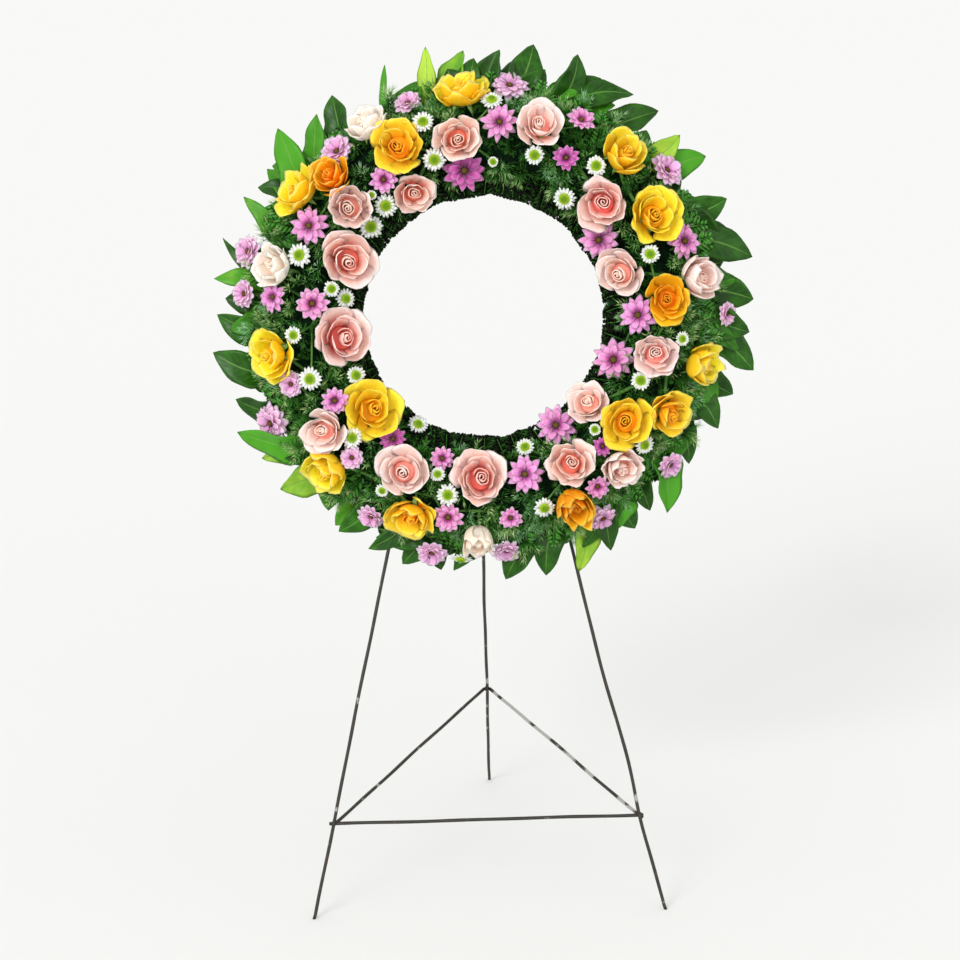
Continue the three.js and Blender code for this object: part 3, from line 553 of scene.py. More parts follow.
@dataclass(frozen=True)
class FloretFinish:
    """Packed disc florets, each a matt bead of its own: the eye sees grains, and a ring where they open."""

    name: str
    middle: str
    ring: str
    grain: float = 1.2

    def material(self) -> Material:
        """From the middle's colour to the ring's, over grains a millimetre wide.

        Returns:
            The finished material.
        """
        look = Shading(self.name)
        _, rise, _ = look.marks("place")
        grain = look.add("TexNoise", look.where, 1 / (self.grain * MM), 2.0)
        colour = look.add("MapRange", rise, 0.4, 0.95, **SOFT)
        colour = look.add("Mix", colour, self.middle, self.ring, **RGBA)
        value = look.add("Math", grain, 0.7, 0.65, **TIMES_PLUS)
        return look.finish(
            Base_Color=look.add("HueSaturation", 0.5, 1.0, value, 1.0, colour),
            Normal=look.add("Bump", 0.6, 0.3 * MM, 0.1, grain),
            Roughness=0.8,
            Specular_IOR_Level=0.2,
        )


@dataclass(frozen=True)
class LeafFinish:
    """Lemon leaf with its natural wax: the eye sees a smooth satin skin, a pale rib with side veins slanting to
    the tip, and a paler matt back."""

    name: str = "lemon_leaf_waxy_blade"
    dark: str = "#163C08"
    fresh: str = "#428C1A"
    lime: str = "#A8CC3E"
    rib: str = "#669640"
    under: str = "#4E862E"
    veins: float = 9.0
    cloud: float = 14.0

    def material(self) -> Material:
        """Dark to fresh to lime by the leaf's shade, partly painted highlight, then the veins, then the back.

        Returns:
            The finished material.
        """
        look = Shading(self.name)
        across, rise, under = look.marks("place")
        _, chance, shade = look.marks("kind")
        off = look.add("Math", across, operation="ABSOLUTE")
        cloud = look.add("TexNoise", look.where, 1 / (self.cloud * MM), 2.0)
        tone = look.add("Math", cloud, 0.3, -0.15, **TIMES_PLUS)
        tone = look.add("Math", tone, shade, operation="ADD")
        share = look.add("MapRange", tone, 0.05, 0.5, **SOFT)
        colour = look.add("Mix", share, self.dark, self.fresh, **RGBA)
        share = look.add("MapRange", tone, 0.55, 0.95, **SOFT)
        colour = look.add("Mix", share, colour, self.lime, **RGBA)
        slant = look.add("Math", rise, self.veins, **TIMES)
        slant = look.add("Math", off, -2.4, slant, **TIMES_PLUS)
        line = look.add("MapRange", look.add("Math", slant, 0.5, operation="PINGPONG"), 0.1, 0.0, **SOFT)
        inner = look.add("MapRange", off, 1.0, 0.4, 0.0, 0.14, **SOFT)
        share = look.add("Math", line, inner, **TIMES)
        colour = look.add("Mix", share, colour, self.rib, **RGBA)
        rib = look.add("MapRange", off, 0.075, 0.02, **SOFT)
        share = look.add("Math", rib, 0.6, **TIMES)
        colour = look.add("Mix", share, colour, self.rib, **RGBA)
        share = look.add("Math", under, 0.7, **TIMES)
        colour = look.add("Mix", share, colour, self.under, **RGBA)
        value = look.add("Math", chance, 0.35, 0.85, **TIMES_PLUS)
        sunk = look.add("Math", line, -0.4, look.add("Math", rib, -1.0, **TIMES), **TIMES_PLUS)
        return look.finish(
            Base_Color=look.add("HueSaturation", 0.5, 1.0, value, 1.0, colour),
            Normal=look.add("Bump", 0.7, 0.4 * MM, 0.1, sunk),
            Roughness=look.add("Math", under, 0.3, 0.3, **TIMES_PLUS),
            Specular_IOR_Level=0.18,
        )


@dataclass(frozen=True)
class NeedleFinish:
    """Fern needle, fine and soft: painted shade nearly black deep in the tufts, light tips, some bluish, some
    yellow.
    """

    name: str = "fern_fresh_needle"
    low: str = "#0A1206"
    blade: str = "#458A30"
    tip: str = "#CEE8A0"
    blue: str = "#AEDAB4"
    puff: float = 42.0

    def material(self) -> Material:
        """Low to blade to tip, painted shade to painted light, outwards and along the needle, bluer or yellower by
        the tuft's chance.

        Returns:
            The finished material.
        """
        look = Shading(self.name)
        _, rise, _ = look.marks("place")
        layer, chance, shade = look.marks("kind")
        # Painted shade deep in tufts and dark fronds, nearly black; the outermost light tips are partly painted
        # light
        high = look.add("Math", layer, 0.65, look.add("Math", rise, 0.35, **TIMES), **TIMES_PLUS)
        share = look.add("MapRange", high, 0.1, 0.45, **SOFT)
        colour = look.add("Mix", share, self.low, self.blade, **RGBA)
        share = look.add("MapRange", chance, 0.5, 0.95, **SOFT)
        ends = look.add("Mix", share, self.tip, self.blue, **RGBA)
        share = look.add("Math", shade, 0.65, 0.35, **TIMES_PLUS)
        share = look.add("Math", look.add("MapRange", high, 0.45, 0.85, **SOFT), share, **TIMES)
        # Some puffs are young and pale, others old and dark
        puff = look.add("TexNoise", look.where, 1 / (self.puff * MM), 1.0)
        puff = look.add("MapRange", puff, 0.36, 0.56, 0.45, 1.0, **SOFT)
        colour = look.add("Mix", look.add("Math", share, puff, **TIMES), colour, ends, **RGBA)
        return look.finish(Base_Color=colour, Roughness=0.6, Specular_IOR_Level=0.1)


@dataclass(frozen=True)
class PlainFinish:
    """A stem, a calyx, wet foam or moulded plastic: the eye sees one colour that drifts, and a fine grain."""

    name: str
    colour: str
    drift: str
    patch: float
    roughness: float
    grain: float = 0.8
    depth: float = 0.15
    specular: float = 0.2

    def material(self) -> Material:
        """Colour to drift over patches, and a bump of the grain's size, both in millimetres.

        Returns:
            The finished material.
        """
        look = Shading(self.name)
        drift = look.add("TexNoise", look.where, 1 / (self.patch * MM), 2.0)
        share = look.add("MapRange", drift, 0.35, 0.65, **SOFT)
        grain = look.add("TexNoise", look.where, 1 / (self.grain * MM), 2.0)
        return look.finish(
            Base_Color=look.add("Mix", share, self.colour, self.drift, **RGBA),
            Normal=look.add("Bump", 0.6, self.depth * MM, 0.1, grain),
            Roughness=self.roughness,
            Specular_IOR_Level=self.specular,
        )


@dataclass(frozen=True)
class WireFinish:
    """Mild steel wire, drawn and dipped in a thin dark varnish: the eye sees satin grey-brown, worn bright in
    places and browned in others."""

    name: str = "steel_wire_drawn_varnished"
    varnish: str = "#403E3B"
    bare: str = "#B4B2AD"
    brown: str = "#54473A"
    # Noise level over which the varnish wears to bare steel; lower leaves more, on the right brace as painted
    # reflection
    rubbed: float = 0.62
    wear: float = 22.0
    stain: float = 9.0
    gloss: float = 5.0
    drawing: float = 2.5

    def material(self) -> Material:
        """Varnish, worn to bare steel over patches of two centimetres and browned over smaller ones.

        Returns:
            The finished material.
        """
        look = Shading(self.name)
        wear = look.add("TexNoise", look.where, 1 / (self.wear * MM), 4.0)
        stain = look.add("TexNoise", look.where, 1 / (self.stain * MM), 3.0)
        gloss = look.add("TexNoise", look.where, 1 / (self.gloss * MM), 2.0)
        # Drawing marks are finer than this and would not show
        marks = look.add("TexNoise", look.where, 1 / (self.drawing * MM), 2.0)
        share = look.add("MapRange", stain, 0.52, 0.7, 0.0, 0.7, **SOFT)
        colour = look.add("Mix", share, self.varnish, self.brown, **RGBA)
        share = look.add("MapRange", wear, self.rubbed, self.rubbed + 0.08, **SOFT)
        return look.finish(
            Base_Color=look.add("Mix", share, colour, self.bare, **RGBA),
            Normal=look.add("Bump", 0.5, 0.12 * MM, 0.1, marks),
            Roughness=look.add("Math", gloss, 0.25, 0.3, **TIMES_PLUS),
            Metallic=0.85,
        )


class Tone(Enum):
    """The petals' colours, each a cut flower's own; the deep, heart and yellow back colours also paint shade."""

    LEMON = PetalFinish("rose_petal_lemon", "#FFBE00", "#FFF22A", "#FFF97C", "#FFB81A", "#FFDE10")
    GOLD = PetalFinish("rose_petal_golden", "#F38C00", "#FFE032", "#FFEE62", "#FCAE18", "#F9A40E")
    AMBER = PetalFinish("rose_petal_amber", "#E06A04", "#FFB416", "#FFD44A", "#F28812", "#F6900A")
    BLUSH = PetalFinish("rose_petal_blush", "#E6604A", "#FFE0D7", "#FFF4F0", "#FFE4D8", "#F8B49E")
    CORAL = PetalFinish("rose_petal_coral", "#D22C16", "#FFD6CA", "#FFF0EA", "#FEDACE", "#F29478",
                        deep_until=0.76)
    CREAM = PetalFinish("rose_petal_cream", "#F8BC94", "#FFF0E4", "#FFFDF8", "#FDF4E6", "#FBD4B8")
    PEACH = PetalFinish("rose_petal_peach", "#F4B284", "#FFE2C8", "#FFF2E2", "#FDE6CC", "#FAD0A8")
    ORCHID = PetalFinish("daisy_petal_orchid", "#9C1E76", "#F092CC", "#FCDAEE", "#F4BCDE", "#DC6CB4",
                         deep_until=0.58, veins=0.2)
    LILAC = PetalFinish("daisy_petal_lilac", "#CE66A6", "#F7BCE0", "#FFEEF8", "#FBD8EC", "#ECA4D0",
                        deep_until=0.45, veins=0.18)
    PURPLE = PetalFinish("daisy_petal_purple", "#6E1252", "#C855A6", "#EEA8DA", "#E096C8", "#A8388A",
                         deep_until=0.6, veins=0.22)
    WHITE = PetalFinish("button_petal_white", "#D6E690", "#FBFCF2", "#FFFFFF", "#F2F7E2", "#F5F8DC",
                        deep_until=0.5, veins=0.05)


class Form(Enum):
    """How far a head has opened: the share of its width that it has spread."""

    FULL = 1.0
    CUP = 0.55
    BUD = 0.0


@dataclass(frozen=True)
class Standing:
    """How a flower stands: level over the tube's axis, share of its radius kept free, how easily it gives way,
    and half the thickness of its stem."""

    level: float
    room: float
    gives: float
    stem: float


class Kind(Enum):
    """Flower kinds, each with the way it stands."""

    ROSE = Standing(66.0, 0.95, 0.3, 2.3)
    PEACH_BUD = Standing(64.0, 0.95, 0.5, 2.2)
    DAISY = Standing(56.0, 0.82, 1.0, 1.6)
    BUTTON = Standing(60.0, 0.88, 1.3, 1.5)


# --- the florist's plan


@dataclass
class Head:
    """One flower: where the plan puts it, and after settling where it stands and faces."""

    node: str
    kind: Kind
    clock: float
    reach: float
    diameter: float
    tone: Tone
    form: Form
    x: float = 0.0
    y: float = 0.0
    height: float = 0.0
    flank: float = 0.0

    def __post_init__(self) -> None:
        """Starts on the tube at the planned clock angle and reach."""
        self.x = self.reach * math.sin(math.radians(self.clock))
        self.y = self.reach * math.cos(math.radians(self.clock))
        self.settle()

    @property
    def radius(self) -> float:
        """Half the diameter."""
        return self.diameter / 2

    def settle(self) -> None:
        """Height from the reach: TUBE_HEIGHT + level sqrt(1 - side^2), side = (reach - RING_RADIUS) / level."""
        level = self.kind.value.level
        self.reach = math.hypot(self.x, self.y)
        side = max(-STEEPEST, min(STEEPEST, (self.reach - RING_RADIUS) / level))
        self.flank = math.degrees(math.asin(side))
        self.clock = math.degrees(math.atan2(self.x, self.y))
        self.height = TUBE_HEIGHT + level * math.sqrt(1 - side * side)

    @property
    def centre(self) -> Array:
        """Middle of the head's rim."""
        return np.array([self.x, self.y, self.height])

    @property
    def axis(self) -> Array:
        """Where it faces: with the tube outside its crown, half as much inside, and daisies more to the front.

        Returns:
            (3,), of length 1.
        """
        facing = min(self.flank, 64) if self.flank > 0 else 0.45 * self.flank
        facing *= 0.7 if self.kind is Kind.DAISY else 1.0
        return ring_point(self.clock, math.sin(math.radians(facing)), math.cos(math.radians(facing)))


@dataclass(frozen=True)
class Spray:
    """Flowers on one forked stem: node, kind, slot, and each head's clock, reach, diameter, tone and form."""

    node: str
    kind: Kind
    slot: str
    heads: list[tuple[int, int, int, Tone, Form]]


# Short names for the table
L, G, A, B, C = Tone.LEMON, Tone.GOLD, Tone.AMBER, Tone.BLUSH, Tone.CORAL
M, R, O, V, P, W = Tone.CREAM, Tone.PEACH, Tone.ORCHID, Tone.LILAC, Tone.PURPLE, Tone.WHITE
F, H, D = Form.FULL, Form.CUP, Form.BUD

# Family of nodes, number of the first, kind, slot, and a row of heads for each node
PLAN = [
    ("yellow_roses", 1, Kind.ROSE, "yellow_petals", [
        [(356, 257, 60, L, F), (335, 212, 58, G, F)],
        [(306, 254, 58, L, F), (314, 232, 44, A, H)],
        [(261, 243, 58, L, F), (232, 164, 60, G, F)],
        [(227, 247, 52, L, H), (201, 241, 56, G, F)],
        [(128, 198, 54, G, F), (156, 236, 46, A, D)],
        [(119, 238, 50, G, F), (104, 254, 50, L, H), (86, 206, 48, A, F)],
        [(61, 222, 60, G, F), (42, 239, 52, G, H)],
    ]),
    ("pink_roses", 1, Kind.ROSE, "pink_petals", [
        [(353, 199, 48, C, F), (332, 156, 44, C, F)],
        [(18, 223, 52, B, F), (48, 181, 55, C, F)],
        [(311, 194, 46, B, H), (294, 162, 58, C, F)],
        [(263, 158, 60, C, F), (236, 221, 48, B, F)],
        [(209, 194, 54, B, F), (183, 180, 58, C, F)],
        [(151, 190, 50, C, F), (139, 228, 46, B, H)],
        [(131, 151, 46, B, F), (104, 195, 48, B, F)],
        [(74, 158, 50, B, F), (81, 247, 48, B, H)],
    ]),
    ("cream_rose", 1, Kind.ROSE, "cream_petals", [
        [(330, 253, 46, M, H)],
        [(285, 244, 46, M, H)],
    ]),
    ("cream_rose", 3, Kind.PEACH_BUD, "cream_petals", [
        [(183, 252, 38, R, D)],
    ]),
    ("daisy_spray", 1, Kind.DAISY, "lilac_petals", [
        [(8, 260, 40, V, F), (6, 217, 40, O, F), (28, 244, 36, O, H), (29, 198, 32, P, H)],
        [(342, 253, 34, V, H), (354, 164, 46, P, F), (325, 188, 36, O, H)],
        [(318, 241, 42, V, H), (299, 219, 42, O, F)],
        [(287, 275, 40, V, H), (277, 237, 34, O, F), (277, 271, 36, V, H), (277, 188, 42, O, H)],
        [(254, 229, 32, V, H), (241, 187, 36, O, H), (245, 270, 42, V, F)],
        [(219, 170, 30, P, F), (226, 221, 30, V, H), (198, 166, 32, O, H)],
        [(211, 260, 34, V, H), (194, 274, 38, V, H)],
        [(176, 267, 34, V, H), (174, 227, 30, O, H), (194, 227, 40, O, H)],
        [(167, 182, 42, O, F), (148, 148, 46, O, F), (139, 198, 26, P, H)],
        [(148, 229, 32, O, H), (151, 266, 34, V, F), (130, 270, 34, V, H)],
        [(110, 154, 46, O, F), (91, 172, 42, O, F), (58, 155, 44, O, F)],
        [(71, 239, 42, O, F), (53, 263, 42, V, H), (91, 274, 30, V, H)],
    ]),
    ("button_spray", 1, Kind.BUTTON, "button_petals", [
        [(3, 240, 26, W, F), (344, 225, 26, W, F), (344, 182, 27, W, F), (5, 172, 18, W, D)],
        [(19, 187, 26, W, H), (39, 213, 27, W, H), (36, 159, 27, W, F)],
        [(320, 165, 27, W, F), (310, 161, 28, W, F), (319, 184, 16, W, D), (290, 216, 28, W, F)],
        [(281, 176, 22, W, H), (279, 156, 23, W, F), (266, 213, 23, W, H), (252, 208, 27, W, F)],
        [(247, 158, 25, W, H), (229, 199, 25, W, F), (213, 143, 24, W, F)],
        [(198, 183, 20, W, H), (193, 208, 26, W, F), (187, 276, 26, W, F), (212, 225, 19, W, H)],
        [(164, 154, 24, W, H), (164, 224, 25, W, F), (137, 177, 20, W, D), (130, 227, 24, W, F)],
        [(113, 189, 26, W, H), (98, 222, 20, W, H), (71, 197, 26, W, H)],
    ]),
]
SPRAYS = [Spray(f"{family}_{number}", kind, slot, heads)
          for family, first, kind, slot, rows in PLAN for number, heads in enumerate(rows, first)]


def settled_heads(rounds: int = 150) -> list[Head]:
    """The plan's heads after neighbours have pressed each other apart, as the solids stand.

    Two heads closer than the sum of their free radii part by half the lack, shared out by their readiness.

    Args:
        rounds: how often all pairs are gone through.

    Returns:
        The heads in the plan's order.
    """
    heads = [Head(spray.node, spray.kind, *values) for spray in SPRAYS for values in spray.heads]
    for _ in range(rounds):
        for i, first in enumerate(heads):
            for second in heads[i + 1 :]:
                dx, dy = second.x - first.x, second.y - first.y
                flat = math.hypot(dx, dy)
                apart = math.hypot(flat, second.height - first.height)
                need = first.radius * first.kind.value.room + second.radius * second.kind.value.room
                if apart >= need:
                    continue
                push = 0.5 * (need - apart) / max(flat, 1)
                share = first.kind.value.gives / (first.kind.value.gives + second.kind.value.gives)
                first.x -= dx * push * share
                first.y -= dy * push * share
                second.x += dx * push * (1 - share)
                second.y += dy * push * (1 - share)
                first.settle()
                second.settle()
    return heads


# --- flowers


def curve_through(stops: Array, steps: int) -> Array:
    """A smooth path near its stops: each pair's straight line, rounded by a quadratic curve at each middle stop.

    Args:
        stops: (k, 3, 3), three stops of each path.
        steps: points of each path.

    Returns:
        (k, steps, 3): (1 - t)^2 a + 2 t (1 - t) b + t^2 c
    """
    t = np.linspace(0, 1, steps)[:, None]
    return (1 - t) ** 2 * stops[:, None, 0] + 2 * t * (1 - t) * stops[:, None, 1] + t**2 * stops[:, None, 2]


def fanned(out: Array, aside: Array, up: Array, turn: Array) -> Array:
    """Points out along a turned ray and aside of it: (out cos - aside sin, out sin + aside cos, up)."""
    flat = out * np.cos(turn) - aside * np.sin(turn), out * np.sin(turn) + aside * np.cos(turn)
    return np.stack(np.broadcast_arrays(*flat, up), axis=-1)


@dataclass(frozen=True)
class Rose:
    """A hybrid tea rose: a swirl in a deep cup, in a wheel of guard petals. Sizes are shares of its radius.

    A petal's order runs from 0 in the heart to 1 outermost, and the tables hold for the orders in knots. The swirl
    ends at 0.3 and the cup's wall starts at 0.5, which leaves a deep gap between them.
    """

    heart: int = 7
    inner: int = 5
    guard: int = 6
    rows: int = 9
    columns: int = 9
    thick: float = 0.5
    thicker_heart: float = 1.4
    knots: tuple[float, ...] = (0, 0.3, 0.5, 0.66, 0.8, 1)
    # A petal's profile has four stops from root to lip: how far out, how high, and how a closed head differs
    reaches: Table = (
        (0.03, 0.08, 0.09, 0.10, 0.12, 0.14), (0.07, 0.26, 0.46, 0.56, 0.68, 0.80),
        (0.10, 0.36, 0.60, 0.74, 0.88, 1.02), (0.03, 0.31, 0.58, 0.72, 0.90, 1.04),
    )
    heights: Table = (
        (-0.62, -0.62, -0.62, -0.62, -0.62, -0.62), (-0.30, -0.42, -0.52, -0.56, -0.60, -0.62),
        (0.10, -0.10, -0.10, -0.14, -0.18, -0.24), (0.34, 0.10, 0.36, 0.32, 0.20, 0.05),
    )
    narrower: tuple[float, ...] = (0.0, 0.15, 0.25, 0.32)
    taller: tuple[float, ...] = (0.0, 0.0, 0.18, 0.42)
    # Half of the turn that a petal covers and how far it strays from its place, in radians
    spans: tuple[float, ...] = (1.9, 1.35, 1.12, 1.0, 0.92, 0.84)
    strays: tuple[float, ...] = (0.7, 0.45, 0.25, 0.22, 0.2, 0.2)
    point: float = 0.15
    shoulder: float = 0.16
    roll: Pair = (0.12, 0.15)
    curl: Pair = (0.03, 0.12)
    frill: float = 0.035
    tuck: float = 0.09
    lean: float = 0.1
    press: Pair = (0.24, 0.18)

    @property
    def order(self) -> Array:
        """Each petal's place from the heart at 0 to the outermost at 1."""
        return np.concatenate([np.linspace(0, 0.3, self.heart), np.linspace(0.5, 0.66, self.inner),
                               np.linspace(0.8, 1.0, self.guard)])

    def profile(self, order: Array, t: Array, closed: float) -> tuple[Array, Array]:
        """How far out and how high a petal is at t up it: a cubic curve through its four stops.

        (1 - t)^3 a + 3 t (1 - t)^2 b + 3 t^2 (1 - t) c + t^3 d

        Args:
            order: (k, 1, 1).
            t: (k, rows, columns) from 0 to 1.
            closed: 0 for a full rose, 1 for a bud.

        Returns:
            Reach and height, (k, rows, columns) each.
        """
        cubic = [(1 - t) ** 3, 3 * t * (1 - t) ** 2, 3 * t**2 * (1 - t), t**3]
        reach = [np.interp(order, self.knots, row) * (1 - less * closed)
                 for row, less in zip(self.reaches, self.narrower)]
        height = [np.interp(order, self.knots, row) + more * closed * order
                  for row, more in zip(self.heights, self.taller)]
        return (sum(part * stop for part, stop in zip(cubic, reach)),
                sum(part * stop for part, stop in zip(cubic, height)))

    def sheets(self, radius: float, spread: float, dice: Dice) -> Array:
        """The petals as sheets: a profile up each petal, and across it a turn over the petal's own span.

        Args:
            radius: of the whole head, in millimetres.
            spread: 1 for a full rose, 0 for a bud.
            dice: the head's own chance.

        Returns:
            (k, rows, columns, 3).
        """
        order = self.order[:, None, None]
        rise, across = steps_of(self.rows, self.columns)
        size = dice.uniform(0.89, 1.08, order.shape)
        # The upper edge is rounded, and its middle drawn to a point on the outer petals
        point = self.point * smooth(order, 0.4, 0.9) * np.exp(-((across / 0.28) ** 2))
        point = point * dice.uniform(0.1, 1.4, size.shape)
        t = rise * (1 - self.shoulder * np.abs(across) ** 2.6) + point * rise**4
        out, up = self.profile(order, t, 1 - spread)
        out = out * size
        # Lips roll out and down, and the sides curl back, which squares the outline
        roll = smooth(t, 0.62, 1.05) ** 1.4 * smooth(order, 0.35, 1.0) * dice.uniform(0.2, 1.5, size.shape)
        curl = np.abs(across) ** 3 * smooth(order, 0.4, 0.9) * smooth(rise, 0.35, 1.0)
        out = out + (self.roll[0] * roll - self.curl[0] * curl) * (0.5 + 0.5 * spread)
        up = up - (self.roll[1] * roll + self.curl[1] * curl) * (0.4 + 0.6 * spread)
        ripple, frill = dice.uniform(0, 2 * np.pi, size.shape), self.frill * dice.uniform(0.5, 1.7)
        up = up + frill * np.sin(4.5 * across + ripple) * t**3 * (0.7 + order)
        out = out + frill * np.sin(6.0 * across + 1.7 * ripple) * t**2 * (0.2 + order)
        # One side tucks under its neighbour
        out = out * (1 + self.tuck * across * (1 - 0.4 * order))
        span = np.interp(order, self.knots, self.spans) * size
        width = (0.3 + 0.7 * smooth(rise, 0, 0.6)) * (1 - 0.3 * smooth(rise, 0.78, 1.1) ** 1.4)
        stray = np.interp(order, self.knots, self.strays)
        start = GOLDEN_ANGLE * np.arange(len(order))[:, None, None] + stray * dice.uniform(-1, 1, size.shape)
        turn = start + across * span * width
        # The swirl leans to one side of the cup, and the inner petals are pressed together from two sides
        lean, toward = self.lean * (1 - smooth(order, 0.2, 0.6)) * rise, dice.uniform(0, 2 * np.pi)
        out = out * (1 - (self.press[0] - self.press[1] * order) * np.cos(turn - toward) ** 2)
        return radius * np.stack(
            [out * np.cos(turn) + lean * np.cos(toward), out * np.sin(turn) + lean * np.sin(toward), up], axis=-1
        )

    def patches(self, head: Head, dice: Dice) -> list[tuple[Patch, str]]:
        """The head's parts about its own centre and axis: petals, the cup's bed, hip and sepals.

        Args:
            head: the flower's place in the plan.
            dice: the head's own chance.

        Returns:
            Patches with the names of their finishes.
        """
        wide = head.radius * (1.05 + 0.3 * (1 - head.form.value))
        sheets = self.sheets(wide, head.form.value, dice)
        order = self.order
        kind = np.stack([order, dice.uniform(0, 1, len(order)), np.full(len(order), dice.uniform())], axis=-1)
        thick = self.thick * (1 + self.thicker_heart * (order < 0.4))
        hip = np.array([[0, -0.86], [0.1, -0.84], [0.15, -0.74], [0.16, -0.64], [0.12, -0.58], [0, -0.55]])
        # Small petals crowd the bottom of the cup and close it
        bed = turned(np.array([[0, -0.58], [0.24, -0.52], [0.44, -0.38], [0.36, -0.32], [0, -0.3]]) * wide, 16,
                     (0.5, 0.3, kind[0, 2]))
        bed.place[:] = (0.0, 0.33, 0.0)
        return [
            (lens(sheets, thick, kind), "petal"),
            (bed, "petal"),
            (turned(hip * head.radius, 12, (1, 0.5, 0.5)), "calyx"),
            (self.sepals(head.radius, dice), "calyx"),
        ]

    def sepals(self, radius: float, dice: Dice, count: int = 5) -> Patch:
        """Pointed sepals that bend down and out from the hip.

        height = -0.66 + 0.16 sin(pi rise) - droop rise^2, out from 0.12 to 0.64 of the radius

        Args:
            radius: of the whole head, in millimetres.
            dice: the head's own chance.
            count: of the sepals.

        Returns:
            One patch with all the sepals.
        """
        rise, across = steps_of(6, 4)
        droop = dice.uniform(0.15, 0.5, (count, 1, 1))
        out = 0.12 + 0.52 * rise
        up = -0.66 + 0.16 * np.sin(np.pi * rise) - droop * rise**2 + 0.03 * across**2
        aside = across * (0.13 * np.sin(np.pi * (0.18 + 0.8 * rise)) + 0.004)
        turn = np.arange(count)[:, None, None] * 2 * np.pi / count + dice.uniform(0, 2 * np.pi)
        return lens(radius * fanned(out, aside, up, turn), 0.7, np.tile([1.0, 0.5, 0.5], (count, 1)))


@dataclass(frozen=True)
class RayFlower:
    """A daisy-like head: whorls of ray petals round a domed disc of florets. Sizes are shares of its radius.

    Each whorl has a count of petals, their length, their lift and their bow. The disc has its half width, the
    height of its edge and the height of its middle.
    """

    whorls: tuple[tuple[int, float, float, float], ...]
    half_width: float
    disc: tuple[float, float, float]
    florets: int
    start: float
    calyx_depth: float
    rows: int = 6
    columns: int = 5
    thick: float = 0.45
    blunt: float = 0.76

    def whorl(self, count: int, length: float, lift: float, bow: float, dice: Dice) -> Array:
        """One whorl of petals.

        A petal runs from start to its length; its height is lift times the run less bow times the run squared,
        and its section is a shallow trough.

        Args:
            count: petals in the whorl.
            length: reach of the tips.
            lift: rise for each unit of reach.
            bow: how much the tips fall back.
            dice: the head's own chance.

        Returns:
            (count, rows, columns, 3).
        """
        rise, across = steps_of(self.rows, self.columns)
        reach = length * dice.uniform(0.88, 1.04, (count, 1, 1))
        tilt = lift + dice.uniform(-0.12, 0.16, (count, 1, 1))
        run = (reach - self.start) * rise
        half = self.half_width * np.sin(np.pi * (0.1 + self.blunt * rise**0.8)) ** 0.75
        half = half * dice.uniform(0.85, 1.12, (count, 1, 1))
        tip = 1 - 0.16 * np.abs(across) ** 2 * smooth(rise, 0.5, 1.0)
        out = self.start + run * np.cos(np.arctan(tilt)) * tip
        up = 0.02 + tilt * run * 0.8 - (bow + dice.uniform(-0.05, 0.12, (count, 1, 1))) * run**2
        up = up + (0.35 * half * across**2) * (1 - 0.5 * rise)
        twist = dice.uniform(-0.25, 0.25, (count, 1, 1)) * rise
        aside = across * half
        up = up + aside * twist
        turn = (np.arange(count)[:, None, None] + dice.uniform(-0.2, 0.2, (count, 1, 1))) * 2 * np.pi / count
        turn = turn + dice.uniform(0, 2 * np.pi)
        return fanned(out, aside, up, turn)

    def eye(self, radius: float, shade: float) -> list[Patch]:
        """The disc: a dome with florets on it, each a golden angle on and out by the square root of its number.

        Args:
            radius: of the whole head, in millimetres.
            shade: the mark that the whole head shares.

        Returns:
            The dome and the florets.
        """
        width, low, high = self.disc
        swell = np.linspace(0, np.pi / 2, 6)
        dome = np.stack([width * np.cos(swell), low + (high - low) * np.sin(swell)], axis=-1)
        profile = np.concatenate([[[0, low - 0.06], [0.6 * width, low - 0.05]], dome[:-1], [[0, high]]])
        crown = turned(profile * radius, 14, (0.5, 0.5, shade))
        crown.place[:, 1] = 1 - crown.place[:, 1]
        number = np.arange(self.florets)
        share = np.sqrt((number + 0.5) / self.florets)
        turn = GOLDEN_ANGLE * number
        out = width * share
        up = low + (high - low) * np.sqrt(1 - share**2 * 0.96)
        seats = radius * np.stack([out * np.cos(turn), out * np.sin(turn), up], axis=-1)
        bead = radius * width * 1.05 / math.sqrt(self.florets)
        grains = np.full(self.florets, bead), np.full(self.florets, 1.1 * bead)
        return [crown, pips(seats, *grains, (0.5, 0.5, shade))]

    def patches(self, head: Head, dice: Dice) -> list[tuple[Patch, str]]:
        """The head's parts about its own centre and axis: whorls of petals, the disc and the calyx.

        Args:
            head: the flower's place in the plan.
            dice: the head's own chance.

        Returns:
            Patches with the names of their finishes.
        """
        parts: list[tuple[Patch, str]] = []
        closing = 1 - head.form.value
        shade = dice.uniform()
        for number, (count, length, lift, bow) in enumerate(self.whorls):
            shorter = length * (1 - 0.22 * closing)
            sheets = head.radius * self.whorl(count, shorter, lift + 0.75 * closing, bow, dice)
            layer = np.full(count, 1 - 0.35 * number)
            kind = np.stack([layer, dice.uniform(0, 1, count), np.full(count, shade)], axis=-1)
            parts.append((lens(sheets, self.thick, kind), "petal"))
        parts += [(patch, "eye") for patch in self.eye(head.radius, shade)]
        depth = self.calyx_depth
        cup = np.array([[0, -depth], [0.1, -depth], [0.19, -0.7 * depth], [0.26, -0.25 * depth], [0.22, 0.03],
                        [0, 0.04]])
        parts.append((turned(cup * head.radius, 12, (1, 0.5, 0.5)), "calyx"))
        return parts


